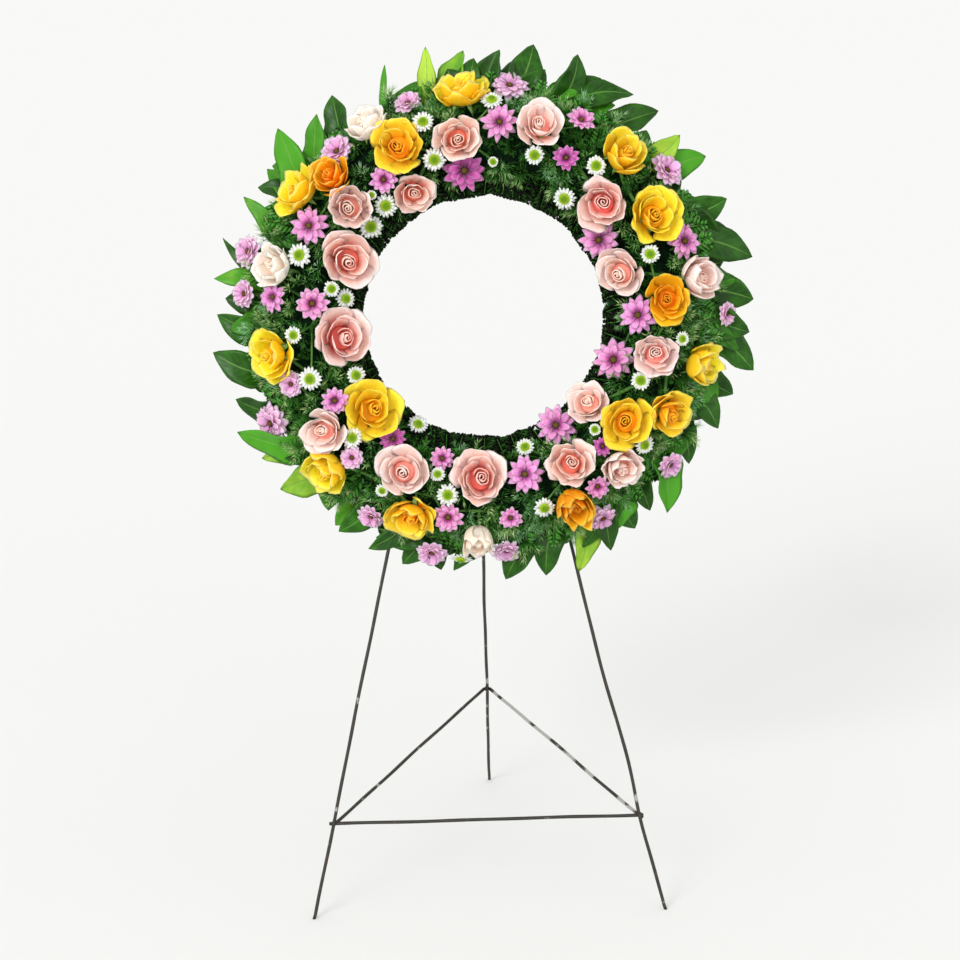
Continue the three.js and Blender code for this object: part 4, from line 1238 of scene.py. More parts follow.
DAISY = RayFlower(
    whorls=((11, 1.14, 0.06, 0.12), (8, 0.94, 0.45, 0.25)),
    half_width=0.225, disc=(0.16, 0.06, 0.17), florets=30, start=0.12, calyx_depth=0.4,
)
DOUBLE_DAISY = RayFlower(
    whorls=((12, 1.18, -0.15, 0.1), (11, 1.16, 0.25, 0.14), (9, 1.0, 0.65, 0.25)),
    half_width=0.3, disc=(0.16, 0.06, 0.16), florets=24, start=0.12, calyx_depth=0.42,
)
BUTTON = RayFlower(
    whorls=((17, 1.06, 0.10, 0.10), (15, 0.92, 0.42, 0.3)),
    half_width=0.145, disc=(0.43, 0.04, 0.34), florets=60, start=0.34, calyx_depth=0.62, rows=5, columns=4,
    thick=0.4, blunt=0.7,
)


@dataclass
class Bouquet:
    """All sprays of the wreath: heads on their forked stems, a piece for each node."""

    ring: RingFrame
    heads: list[Head]
    fork_level: float = 36.5
    foot_level: float = 13.0
    taper: float = 0.75
    # How far behind a head's rim its stem ends and bends, as shares of the head's radius
    neck: float = 0.6
    bend: float = 1.25
    steps: int = 7
    sides: int = 6
    petals: dict[Tone, Material] = field(init=False)
    stalk: Material = field(init=False)
    calyx: Material = field(init=False)
    eyes: dict[Kind, Material] = field(init=False)

    def __post_init__(self) -> None:
        """Makes the finishes that the sprays share."""
        self.petals = {tone: tone.value.material() for tone in Tone}
        # Cut stems are smooth and faintly waxy: a soft sheen on a green that drifts
        self.stalk = PlainFinish("cut_stem_green", "#3C6B2A", "#5B8A3A", 12.0, 0.5).material()
        # A calyx is downy: paler and more matt than its stem
        self.calyx = PlainFinish("calyx_soft_green", "#5C8A3C", "#86A85A", 8.0, 0.6).material()
        self.eyes = {
            Kind.DAISY: FloretFinish("daisy_disc_olive_brown", "#6E5A1E", "#4A1230").material(),
            Kind.BUTTON: FloretFinish("button_disc_lime", "#6C961A", "#BED62E").material(),
        }

    def spray_stems(self, own: list[Head]) -> Patch:
        """One forked stem: a foot in the foam, a fork over it, and a bowed branch to each calyx.

        Args:
            own: the spray's heads.

        Returns:
            The stems as tubes.
        """
        mean = np.mean([head.centre for head in own], axis=0)
        clock = math.degrees(math.atan2(mean[0], mean[1]))
        side = float(np.clip(0.75 * np.mean([head.flank for head in own]), -66, 66))
        foot = tube_point(clock, 0.8 * side, self.foot_level)
        fork = tube_point(clock, side, self.fork_level)
        ends = np.array([head.centre - self.neck * head.radius * head.axis for head in own])
        under = np.array([head.centre - self.bend * head.radius * head.axis for head in own])
        stops = np.stack([np.tile(fork, (len(own), 1)), 0.5 * (under + fork), ends], axis=1)
        trunk = np.linspace(foot, fork, self.steps)[None]
        paths = np.concatenate([trunk, curve_through(stops, self.steps)])
        thick = own[0].kind.value.stem
        radii = np.linspace(thick, self.taper * thick, self.steps)
        return tubes(paths, radii, self.sides, np.tile([1.0, 0.5, 0.5], (len(paths), 1)))

    def build(self) -> None:
        """Makes every spray's piece. The lilac heads are double daisies."""
        rose = Rose()
        makers = {Kind.ROSE: rose, Kind.PEACH_BUD: rose, Kind.DAISY: DAISY, Kind.BUTTON: BUTTON}
        for number, spray in enumerate(SPRAYS):
            own = [head for head in self.heads if head.node == spray.node]
            piece = Piece(f"{spray.node}_in_bloom")
            piece.add(self.spray_stems(own), self.stalk)
            for place, head in enumerate(own):
                dice = np.random.default_rng([number, place])
                basis = basis_along(head.axis, np.array(dice.uniform(0, 2 * np.pi)))
                finishes = {"petal": self.petals[head.tone], "calyx": self.calyx, "eye": self.eyes.get(spray.kind)}
                maker = DOUBLE_DAISY if head.tone is Tone.LILAC else makers[spray.kind]
                for patch, finish in maker.patches(head, dice):
                    piece.add(patch.moved(basis, head.centre), finishes[finish])
            piece.build(self.ring, spray.slot, spray.node)


# --- greenery


# Lemon leaves on five leafy stems: clock angle of the tip, reach of the tip and width
LEAF_STEMS = [
    [(340, 306, 12), (349, 310, 22), (357, 302, 34), (5, 300, 32), (12, 313, 42), (22, 312, 44), (28, 300, 36),
     (35, 304, 36)],
    [(42, 306, 36), (49, 301, 32), (56, 312, 36), (66, 305, 40), (73, 300, 34), (79, 312, 42), (88, 309, 42),
     (95, 302, 40), (103, 314, 44)],
    [(109, 300, 36), (117, 296, 34), (127, 292, 28), (138, 308, 38), (146, 300, 36), (153, 304, 30),
     (161, 314, 30), (168, 304, 36)],
    [(177, 304, 36), (188, 292, 24), (200, 300, 34), (208, 296, 26), (217, 294, 30), (231, 305, 42),
     (239, 302, 28), (246, 312, 42)],
    [(253, 300, 36), (264, 310, 40), (272, 304, 34), (280, 308, 26), (288, 312, 14), (298, 303, 22),
     (306, 298, 28), (314, 314, 36), (327, 304, 36)],
]
# Shade of the leaves that are not dark, by the clock angle of their tip: 0 is dark, 1 is lime, partly painted
# highlight
LIME_AND_LIT_LEAVES = {340: 0.5, 349: 0.95, 357: 0.7, 49: 0.85, 56: 0.5, 138: 0.5, 161: 0.8, 217: 0.6, 231: 0.75,
                239: 0.8, 246: 0.45, 280: 0.6, 298: 0.6, 306: 0.55, 314: 0.5}


@dataclass
class LemonLeaves:
    """The border: leafy stems round the foot of the ring, each leaf a folded and arched blade."""

    ring: RingFrame
    lane: Pair = (239.0, 14.0)
    lean: float = 7.0
    thick: float = 0.9
    arch: float = 0.07
    fold: float = 0.22
    ripple: float = 0.2
    lifts: Pair = (-6.0, 12.0)
    # Small leaves and the low row, from and to: reach and width, lift of the tip, stray of the stalk
    small: Table = ((272.0, 296.0), (26.0, 38.0), (2.0, 14.0), (-14.0, 14.0))
    low: Table = ((262.0, 282.0), (30.0, 40.0), (-8.0, -2.0), (2.0, 10.0))
    low_start: float = 226.0
    rows: int = 15
    columns: int = 9

    def blades(self, base: Array, tip: Array, width: Array, face: Array, dice: Dice) -> Array:
        """Leaves as sheets.

        middle = base + along rise + normal (arch sin(pi rise) - droop rise^3) length; the half width follows a
        sine of the rise behind a short stalk, the sides are folded up, their edges rippled, and the blade bent.

        Args:
            base: (k, 3) where the stalks leave the stem.
            tip: (k, 3).
            width: (k,).
            face: (k, 3) where the upper sides look.
            dice: the stem's own chance.

        Returns:
            (k, rows, columns, 3).
        """
        count = len(base)
        rise, across = steps_of(self.rows, self.columns)
        along = tip - base
        side = unit(np.cross(face, along))
        normal = unit(np.cross(along, side))
        length = np.linalg.norm(along, axis=-1)[:, None, None]
        blade = np.clip((rise - 0.07) / 0.93, 0, 1) ** 0.9
        half = 0.5 * width[:, None, None] * np.sin(np.pi * blade**0.88) ** 0.72
        half = np.maximum(half, 1.1 * (1 - rise) + 0.25)
        wobble = dice.uniform(0, 2 * np.pi, (count, 1, 1))
        waves = dice.uniform(9, 14, (count, 1, 1))
        droop = dice.uniform(-0.03, 0.12, (count, 1, 1))
        lift = length * (self.arch * np.sin(np.pi * rise) - droop * rise**3)
        lift = lift + self.fold * half * np.abs(across) ** 1.3 * dice.uniform(0.1, 2.4, (count, 1, 1))
        ripple = self.ripple * half * np.sin(waves * rise + wobble + across) * across**2
        bend = dice.uniform(-0.11, 0.11, (count, 1, 1)) * length * np.sin(np.pi * rise)
        sideways = across * half * (1 + 0.05 * np.sin(16 * rise + wobble)) + bend
        up = (lift + ripple)[..., None]
        return (
            base[:, None, None] + rise[..., None] * along[:, None, None]
            + sideways[..., None] * side[:, None, None] + up * normal[:, None, None]
        )

    def leaf_rows(self, leaves: list[tuple[int, int, int]], arc: float,
                  dice: Dice) -> tuple[Array, Array, Array, Array, Array]:
        """A stem's leaves: the large ones, small ones between them, and a low row that closes the ring's foot.

        Args:
            leaves: clock angle, reach and width of the large ones.
            arc: degrees that the stem runs over.
            dice: the stem's own chance.

        Returns:
            Clock angle, reach and width (k, 3), shade, lift of the tip, stray of the stalk, and its foot's reach.
        """
        large = np.array(leaves, float)
        shade = np.array([LIME_AND_LIT_LEAVES.get(int(clock), 0.15) for clock in large[:, 0]])
        lift = np.where(np.arange(len(large)) % 2 == 0, *self.lifts)
        turns = np.unwrap(large[:, 0], period=360)
        between = 0.5 * (turns[1:] + turns[:-1])
        many = len(between)
        small = np.stack([between + dice.uniform(-3.5, 3.5, many),
                          *[dice.uniform(*ends, many) for ends in self.small[:2]]], axis=-1)
        foot = np.linspace(turns[0] - 4, turns[-1] + 5, round(arc / 5))
        few = len(foot)
        low = np.stack([foot, *[dice.uniform(*ends, few) for ends in self.low[:2]]], axis=-1)
        rows = np.concatenate([np.column_stack([turns, large[:, 1:]]), small, low])
        shade = np.concatenate([shade, dice.uniform(0.0, 0.4, many), np.zeros(few)])
        lift = np.concatenate([lift, dice.uniform(*self.small[2], many), dice.uniform(*self.low[2], few)])
        stray = np.concatenate([dice.uniform(-5, 5, len(turns)), dice.uniform(*self.small[3], many),
                                dice.uniform(*self.low[3], few)])
        start = np.concatenate([np.full(len(turns) + many, self.lane[0]), np.full(few, self.low_start)])
        return rows, shade, lift, stray, start

    def build(self) -> None:
        """Makes the five leafy stems."""
        blade_finish = LeafFinish().material()
        # Young wood: a dull skin between green and brown
        stem_finish = PlainFinish("leaf_stem_woody_green", "#4B5A2A", "#6B6038", 15.0, 0.6).material()
        for number, leaves in enumerate(LEAF_STEMS):
            dice = np.random.default_rng([77, number])
            first = leaves[0][0] - self.lean - 3
            arc = (leaves[-1][0] - leaves[0][0] + 360) % 360 + 4
            lane = ring_point(np.linspace(first, first + arc, 3 * round(arc / 10) + 1), *self.lane)
            entry = ring_point(np.array([first - 4, first - 3]), np.array([214, 234]), np.array([24, 20]))
            path = np.concatenate([entry, lane])[None]
            piece = Piece(f"lemon_leaf_stem_{number + 1}_in_leaf")
            piece.add(tubes(path, np.linspace(1.9, 1.3, path.shape[1]), 8, np.array([[1, 0.5, 0.5]])), stem_finish)
            rows, shade, lift, stray, start = self.leaf_rows(leaves, arc, dice)
            clock, reach, width = rows.T
            # A stalk leaves the stem a little before its blade's own clock angle
            swept = np.clip((clock - self.lean - first + 720) % 360, 1, arc - 5)
            base = ring_point(first + swept + stray, start, self.lane[1] + 0.3 * np.maximum(lift, 0))
            tip = ring_point(clock, reach, self.lane[1] + lift)
            face = ring_point(clock + dice.uniform(-80, 80, len(rows)), dice.uniform(0.1, 0.8, len(rows)), 1.0)
            sheets = self.blades(base, tip, width, face, dice)
            kind = np.stack([np.ones(len(rows)), dice.uniform(0, 1, len(rows)), shade], axis=-1)
            piece.add(lens(sheets, self.thick, kind), blade_finish)
            piece.build(self.ring, "lemon_leaf", f"lemon_leaf_stem_{number + 1}")


@dataclass(frozen=True)
class FernSide:
    """One side of the ring's fern: its branches, by clock angle, and the fronds that close its depth.

    lane_flank is where a branch runs along the tube, edge the reach of the fronds' ends, spread the degrees
    between two fronds, and lights the layers that the low and the high fronds are at: painted shade, darkest
    low and at the hole, and painted light on the high fronds over the leaves.
    """

    name: str
    branches: int
    start: float
    step: float
    arc: float
    lane_flank: float
    edge: Pair
    spread: float
    lights: Pair


FERN_SIDES = (
    # Fronds painted dark as shade end at the edge of the hole
    FernSide("inner", 5, 6.0, 72.0, 62.0, -84.0, (137.0, 140.0), 2.4, (-0.22, -0.12)),
    # Fronds painted lighter, as light, run out over the leaves
    FernSide("outer", 3, 10.0, 120.0, 104.0, 76.0, (256.0, 272.0), 3.6, (0.1, 0.45)),
)


@dataclass
class Fern:
    """Fine-needled fern that fills every gap: tufts of sprigs on twigs, over flat fronds that close the depth."""

    ring: RingFrame
    heads: list[Head]
    flanks: tuple[float, ...] = (-92, -76, -58, -38, -16, 6, 28, 48, 66, 82, 94)
    spacing: float = 21.5
    level: float = 46.0
    hollow_depth: float = 9.0
    sprigs: int = 6
    sprig_length: Pair = (12.0, 21.0)
    whorls: int = 5
    needles: int = 5
    needle_length: Pair = (8.0, 13.5)
    needle_half: float = 0.4
    # Degrees between a needle and its sprig, at the sprig's root and at its end
    opening: Pair = (75.0, 25.0)
    # Sprigs start below their seat, and needles whose tip lies deeper than hidden are left out
    root_depth: float = 7.0
    hidden: float = -5.5
    twig_level: float = 27.0
    branch_level: float = 38.0
    hole: float = 136.5
    rim_clocks: tuple[int, ...] = (17, 27, 36, 46, 63, 84, 97, 113, 122, 143, 159, 171, 203, 221, 236, 256, 268,
                                   283, 293, 302, 322, 337, 349)
    rim_level: Pair = (57.0, 70.0)
    leaflets: int = 11
    # Heights that the two layers of fronds end at
    frond_heights: tuple[Pair, ...] = ((14.0, 22.0), (28.0, 36.0))

    def seats(self, dice: Dice) -> tuple[Array, Array, Array]:
        """Where tufts stand: rows round the tube at an even spacing, less those inside a flower.

        Args:
            dice: the fern's own chance.

        Returns:
            Clock angles, flanks and centres (k, 3).
        """
        rows = []
        for flank in self.flanks:
            reach = RING_RADIUS + self.level * math.sin(math.radians(flank))
            count = round(2 * math.pi * reach / self.spacing)
            clock = (np.arange(count) + dice.uniform(-0.3, 0.3, count) + dice.uniform()) * 360 / count
            rows.append(np.stack([clock % 360, flank + dice.uniform(-6, 6, count)], axis=-1))
        # Puffs that spill over the leaves at the rim
        puffs = len(self.rim_clocks)
        rows.append(np.stack([self.rim_clocks, dice.uniform(64, 82, puffs)], axis=-1))
        clock, flank = np.concatenate(rows).T
        level = self.level + dice.uniform(-4, 6, len(clock)) - 5 * (flank < -60)
        level[-puffs:] = dice.uniform(*self.rim_level, puffs)
        centre = tube_point(clock, flank, level - self.hollow_depth * self.hollow(clock, flank))
        blooms = np.array([head.centre - 0.25 * head.radius * head.axis for head in self.heads])
        room = np.array([head.radius for head in self.heads])
        far = np.linalg.norm(centre[:, None] - blooms[None], axis=-1) / room[None]
        free = far.min(axis=1) > 0.85
        return clock[free], flank[free], centre[free]

    def hollow(self, clock: Array, flank: Array) -> Array:
        """Share from 0 to 1 of a hollow between the puffs, sunk and painted dark as shade: an uneven wave round
        the tube's crown.

        sin(7 clock + 2 sin 3 clock + flank / 18 degrees), softly cut off and faded out on the tube's sides

        Args:
            clock: (k,) in degrees.
            flank: (k,) in degrees.

        Returns:
            (k,).
        """
        angle = np.radians(clock)
        wave = np.sin(7 * angle + 2 * np.sin(3 * angle) + flank / 18)
        return smooth(wave, 0.1, 0.8) * smooth(-np.abs(flank), -66, -46)

    def outside(self, points: Array) -> NDArray[np.bool_]:
        """True where no flower is and the tray's back isn't passed.

        A flower fills a flat ball: (way off its axis)^2 / (wide r)^2 + (way along it)^2 / (0.55 r)^2 < 1

        Args:
            points: (n, 3).

        Returns:
            (n,) of true and false.
        """
        axes = np.array([head.axis for head in self.heads])
        room = np.array([head.radius for head in self.heads])
        wide = np.array([1.22 if head.kind is Kind.ROSE else 1.14 for head in self.heads])
        blooms = np.array([head.centre for head in self.heads]) - 0.05 * room[:, None] * axes
        away = (points**2).sum(axis=1)[:, None] + (blooms**2).sum(axis=1) - 2 * points @ blooms.T
        along = (points @ axes.T - (blooms * axes).sum(axis=1)) ** 2
        inside = (away - along) / (wide * room) ** 2 + along / (0.55 * room) ** 2 < 1
        return ~inside.any(axis=1) & (points[:, 2] > 3)

    def trimmed(self, points: Array) -> Array:
        """Points of the inner side that would reach into the hole, drawn back to its gently lobed edge.

        Args:
            points: (..., 3).

        Returns:
            The points, none nearer to the centre than hole + 1.4 sin 11 clock + 0.9 sin (17 clock + 1).
        """
        clock = np.arctan2(points[..., 0], points[..., 1])
        edge = self.hole + 1.4 * np.sin(11 * clock) + 0.9 * np.sin(17 * clock + 1)
        reach = np.hypot(points[..., 0], points[..., 1])
        draw = np.maximum(1.0, edge / np.maximum(reach, 1.0))
        return points * np.stack([draw, draw, np.ones_like(draw)], axis=-1)

    def tufts(self, centre: Array, outward: Array, short: Array, dice: Dice) -> list[Patch]:
        """Sprigs fan out from each seat, and needles stand off each sprig in whorls, bent towards its end.

        needle direction = cos b along + sin b (cos a side + sin a up), with b closing towards the sprig's end

        Args:
            centre: (k, 3) seats.
            outward: (k, 3) unit vectors off the tube.
            short: (k,) from 1 to less, where tufts stay short and are painted dark as shade.
            dice: the branch's own chance.

        Returns:
            The needles and the sprigs.
        """
        count = len(centre)
        spray = dice.normal(0, 0.6, (count, self.sprigs, 3))
        along = unit(spray + outward[:, None] * dice.uniform(0.5, 1.0, (count, self.sprigs, 1)))
        length = dice.uniform(*self.sprig_length, (count, self.sprigs, 1, 1)) * short[:, None, None, None]
        share = np.linspace(0.2, 1, self.whorls)[None, None, :, None]
        root = centre[:, None] - self.root_depth * outward[:, None]
        stalk = root[:, :, None] + along[:, :, None] * length * share
        basis = basis_along(along, np.zeros(along.shape[:2]))
        turn = dice.uniform(0, 2 * np.pi, (count, self.sprigs, self.whorls, self.needles, 1))
        opening = np.radians(np.linspace(*self.opening, self.whorls))[None, None, :, None, None]
        opening = opening + dice.uniform(-0.2, 0.2, turn.shape)
        ahead = along[:, :, None, None]
        aside = np.cos(turn) * basis[:, :, None, None, 0] + np.sin(turn) * basis[:, :, None, None, 1]
        around = np.cos(turn) * basis[:, :, None, None, 1] - np.sin(turn) * basis[:, :, None, None, 0]
        heading = np.cos(opening) * ahead + np.sin(opening) * aside
        flat = np.cos(opening) * aside - np.sin(opening) * ahead
        reach = dice.uniform(*self.needle_length, turn.shape) * (1.1 - 0.35 * share[..., None])
        reach = reach * short[:, None, None, None, None]
        start = np.broadcast_to(stalk[:, :, :, None], heading.shape)
        middle = start + 0.45 * reach * heading - 0.06 * reach * ahead
        tip = start + reach * heading + 0.1 * reach * ahead
        # Painted shade: the deeper a needle's tip lies in its tuft, the lower its layer and the darker its colour
        depth = np.sum((tip - centre[:, None, None, None]) * outward[:, None, None, None], axis=-1).reshape(-1)
        tone = np.broadcast_to(dice.uniform(0, 1, (count, 1, 1, 1)), heading.shape[:4]).reshape(-1)
        dim = np.broadcast_to(short[:, None, None, None], heading.shape[:4]).reshape(-1) ** 2
        kind = np.stack([smooth(depth, -5, 16) * dim, tone, dice.uniform(0, 1, len(tone)) * dim], axis=-1)
        free = self.outside(tip.reshape(-1, 3)) & self.outside(start.reshape(-1, 3)) & (depth > self.hidden)
        middle, tip = self.trimmed(middle), self.trimmed(tip)
        parts = (start, middle, tip, self.needle_half * around, -self.needle_half * flat)
        needles = spikes(*[part.reshape(-1, 3)[free] for part in parts], kind[free])
        ends = np.stack([np.broadcast_to(root, along.shape), stalk[:, :, -1]], axis=-2).reshape(-1, 2, 3)
        marks = np.tile([0.2, 0.5, 0.5], (len(ends), 1))
        return [needles, tubes(ends, np.array([0.5, 0.3]), 3, marks)]

    def fronds(self, clock: Array, flank: float, ends: tuple[Array, Array], light: float,
               dice: Dice) -> list[Patch]:
        """Flat fronds: pairs of leaflets along a rib that runs from the tube's flank out over the ring's edge.

        rib = (1 - t)^2 root + 2 t (1 - t) knee + t^2 end; leaflets are longest at a third of the rib

        Args:
            clock: (k,) clock angles.
            flank: where the ribs leave the tube, in degrees.
            ends: reach and height of the ribs' ends, (k,) each.
            light: layer that the leaflets are at, on average, which paints their light and shade.
            dice: the branch's own chance.

        Returns:
            The leaflets and the ribs.
        """
        count = len(clock)
        lean = dice.uniform(-5, 5, count)
        root = tube_point(clock, flank, 26.0)
        end = ring_point(clock + lean, *ends)
        knee = 0.5 * (root + end) + np.array([0, 0, 7.0])
        t = np.linspace(0, 1, self.leaflets)[None, :, None]
        rib = (1 - t) ** 2 * root[:, None] + 2 * t * (1 - t) * knee[:, None] + t**2 * end[:, None]
        along = unit(np.gradient(rib, axis=1))
        upward = unit(ring_point(clock, 0.0, 1.0) + dice.normal(0, 0.25, (count, 3)))[:, None]
        aside = unit(np.cross(along, upward))
        length = (4.0 + 12.0 * np.sin(np.pi * (0.14 + 0.8 * t))) * dice.uniform(0.85, 1.15, t.shape)
        parts = []
        for hand in (-1.0, 1.0):
            heading = unit(hand * aside + 0.7 * along + dice.normal(0, 0.12, along.shape))
            flat = np.cross(upward, heading)
            thick = np.cross(heading, flat)
            parts.append([rib, rib + 0.45 * length * heading, rib + length * heading, 2.3 * flat, 0.35 * thick])
        start, middle, tip, side, up = (np.concatenate([a, b], axis=1).reshape(-1, 3) for a, b in zip(*parts))
        kind = np.stack([light + dice.uniform(-0.1, 0.1, len(start)), dice.uniform(0, 1, len(start)),
                         max(light, 0) * dice.uniform(0, 1, len(start))], axis=-1)
        stalks = tubes(rib[:, ::2], np.linspace(0.6, 0.3, (self.leaflets + 1) // 2), 3,
                       np.tile([0.3, 0.5, 0.0], (count, 1)))
        free = self.outside(tip) & self.outside(middle)
        parts = (self.trimmed(start), self.trimmed(middle), self.trimmed(tip), side, up, kind)
        return [spikes(*[part[free] for part in parts]), stalks]

    def branch(self, side: FernSide, number: int, clock: Array, flank: Array, seats: Array,
               dice: Dice) -> tuple[list[Patch], list[Patch]]:
        """One branch along the tube, with the tufts on its seats and the fronds of its stretch of the ring.

        Args:
            side: of the ring.
            number: of the branch on its side.
            clock: (k,) clock angles of the seats.
            flank: (k,) flanks of the seats.
            seats: (k, 3).
            dice: the fern's own chance.

        Returns:
            The green parts, and the twigs.
        """
        outward = unit(seats - tube_point(clock, 0.0, 0.0))
        begin = side.start + side.step * number
        # Tufts are shorter on the outer flank and in a hollow, and painted darker there as shade
        short = (1 - 0.4 * smooth(-flank, 50, 80)) * (1 - 0.4 * self.hollow(clock, flank))
        green = self.tufts(seats, outward, short, dice)
        for heights, light in zip(self.frond_heights, side.lights):
            ribs = np.arange(begin - 5, begin + side.step - 5, side.spread) + dice.uniform(-1, 1)
            ends = dice.uniform(*side.edge, len(ribs)), dice.uniform(*heights, len(ribs))
            green += self.fronds(ribs, 0.8 * side.lane_flank, ends, light, dice)
        mark = np.array([[0.2, 0.5, 0.5]])
        low = tube_point(clock, 0.94 * flank, self.twig_level)
        twigs = np.stack([low, seats - self.root_depth * outward], axis=1)
        lane = tube_point(np.linspace(begin, begin + side.arc, 25), side.lane_flank, self.branch_level)
        foot = tube_point(begin - 5, 0.8 * side.lane_flank, 17.0)[None]
        wood = [tubes(twigs, np.array([0.9, 0.6]), 5, np.tile(mark, (len(twigs), 1))),
                tubes(np.concatenate([foot, lane])[None], np.array(1.5), 6, mark)]
        return green, wood

    def build(self) -> None:
        """Makes a piece for each branch."""
        finish = NeedleFinish().material()
        # Fern twigs are matt and dark, and hardly show between the needles
        twig_finish = PlainFinish("fern_twig_green", "#274D26", "#35602F", 9.0, 0.7).material()
        dice = np.random.default_rng(2611)
        clock, flank, centre = self.seats(dice)
        for side in FERN_SIDES:
            mine = (flank < 0) == (side.lane_flank < 0)
            sector = (((clock - side.start + 0.5 * (side.step - side.arc)) % 360) // side.step).astype(int)
            for number in range(side.branches):
                own = mine & (sector == number)
                green, wood = self.branch(side, number, clock[own], flank[own], centre[own], dice)
                piece = Piece(f"fern_{side.name}_{number + 1}_in_needle")
                for patch in green:
                    piece.add(patch, finish)
                for patch in wood:
                    piece.add(patch, twig_finish)
                piece.build(self.ring, "fern_needles", f"fern_{side.name}_{number + 1}")


# --- foam, tray, wires


@dataclass
class FoamAndTray:
    """The ring that carries the stems: wet floral foam pressed into a moulded tray."""

    ring: RingFrame
    crown: float = 48.0
    # Height at which the foam's straight sides go over into its round top
    side: float = 24.0
    foam_floor: float = 2.8
    tray_floor: float = 2.5
    edge: float = 0.8
    sides: int = 168

    def foam(self) -> Patch:
        """A round-topped section carried round, its skin roughened by pressing and stems.

        reach = RING_RADIUS + FOAM_HALF cos a, height = side + (crown - side) sin a

        Returns:
            The foam's skin.
        """
        turn = np.linspace(0, np.pi, 27)
        reach = RING_RADIUS + FOAM_HALF * np.cos(turn)
        round_top = np.stack([reach, self.side + (self.crown - self.side) * np.sin(turn)], axis=-1)
        foot = np.array([[RING_RADIUS - FOAM_HALF, self.foam_floor], [RING_RADIUS + FOAM_HALF, self.foam_floor]])
        patch = turned(np.concatenate([foot, round_top]), self.sides, (0.5, 0.5, 0.5), closed=True)
        dice = np.random.default_rng(5)
        patch.points = patch.points + dice.normal(0, 0.25, patch.points.shape) * (patch.points[:, 2:] > 16)
        return patch

    def tray(self) -> Patch:
        """A shallow channel with walls of one thickness and lips rounded over: a profile turned round.

        Returns:
            The tray's surface.
        """
        inner = RING_RADIUS - FOAM_HALF - FOAM_PLAY
        outer = RING_RADIUS + FOAM_HALF + FOAM_PLAY
        wall, lip, floor, edge = TRAY_WALL, TRAY_LIP, self.tray_floor, self.edge
        turn = np.linspace(0, np.pi, 7)
        arc = np.stack([np.cos(turn), np.sin(turn)], axis=-1) * 0.5 * wall
        near = arc + np.array([inner - 0.5 * wall, lip - 0.5 * wall])
        far = arc + np.array([outer + 0.5 * wall, lip - 0.5 * wall])
        low = np.array([[inner - wall, edge], [inner - wall + edge, 0], [outer + wall - edge, 0],
                        [outer + wall, edge]])
        inside = np.array([[outer, floor + edge], [outer - edge, floor], [inner + edge, floor],
                           [inner, floor + edge]])
        return turned(np.concatenate([low, far, inside, near]), self.sides, (0.5, 0.5, 0.5), closed=True)

    def build(self) -> None:
        """Makes both pieces."""
        # Wet foam, its dark green painted nearly black as shade between the stems, with no sheen and a coarse
        # grain
        wet_and_shaded_foam = PlainFinish("floral_foam_wet_pressed", "#0A1A0D", "#102614", 6.0, 0.95, 0.7, 0.5, 0.05)
        Piece("wet_foam_ring", [(self.foam(), wet_and_shaded_foam.material())]).build(self.ring, "floral_foam", "foam_ring")
        # Moulded polypropylene has one dull colour and a soft sheen
        moulded = PlainFinish("polypropylene_moulded_green", "#1C3D26", "#21462C", 40.0, 0.42, 0.5, 0.05, 0.5)
        tray = Piece("moulded_ring_tray", [(self.tray(), moulded.material())])
        tray.build(self.ring, "tray_plastic", "ring_tray")


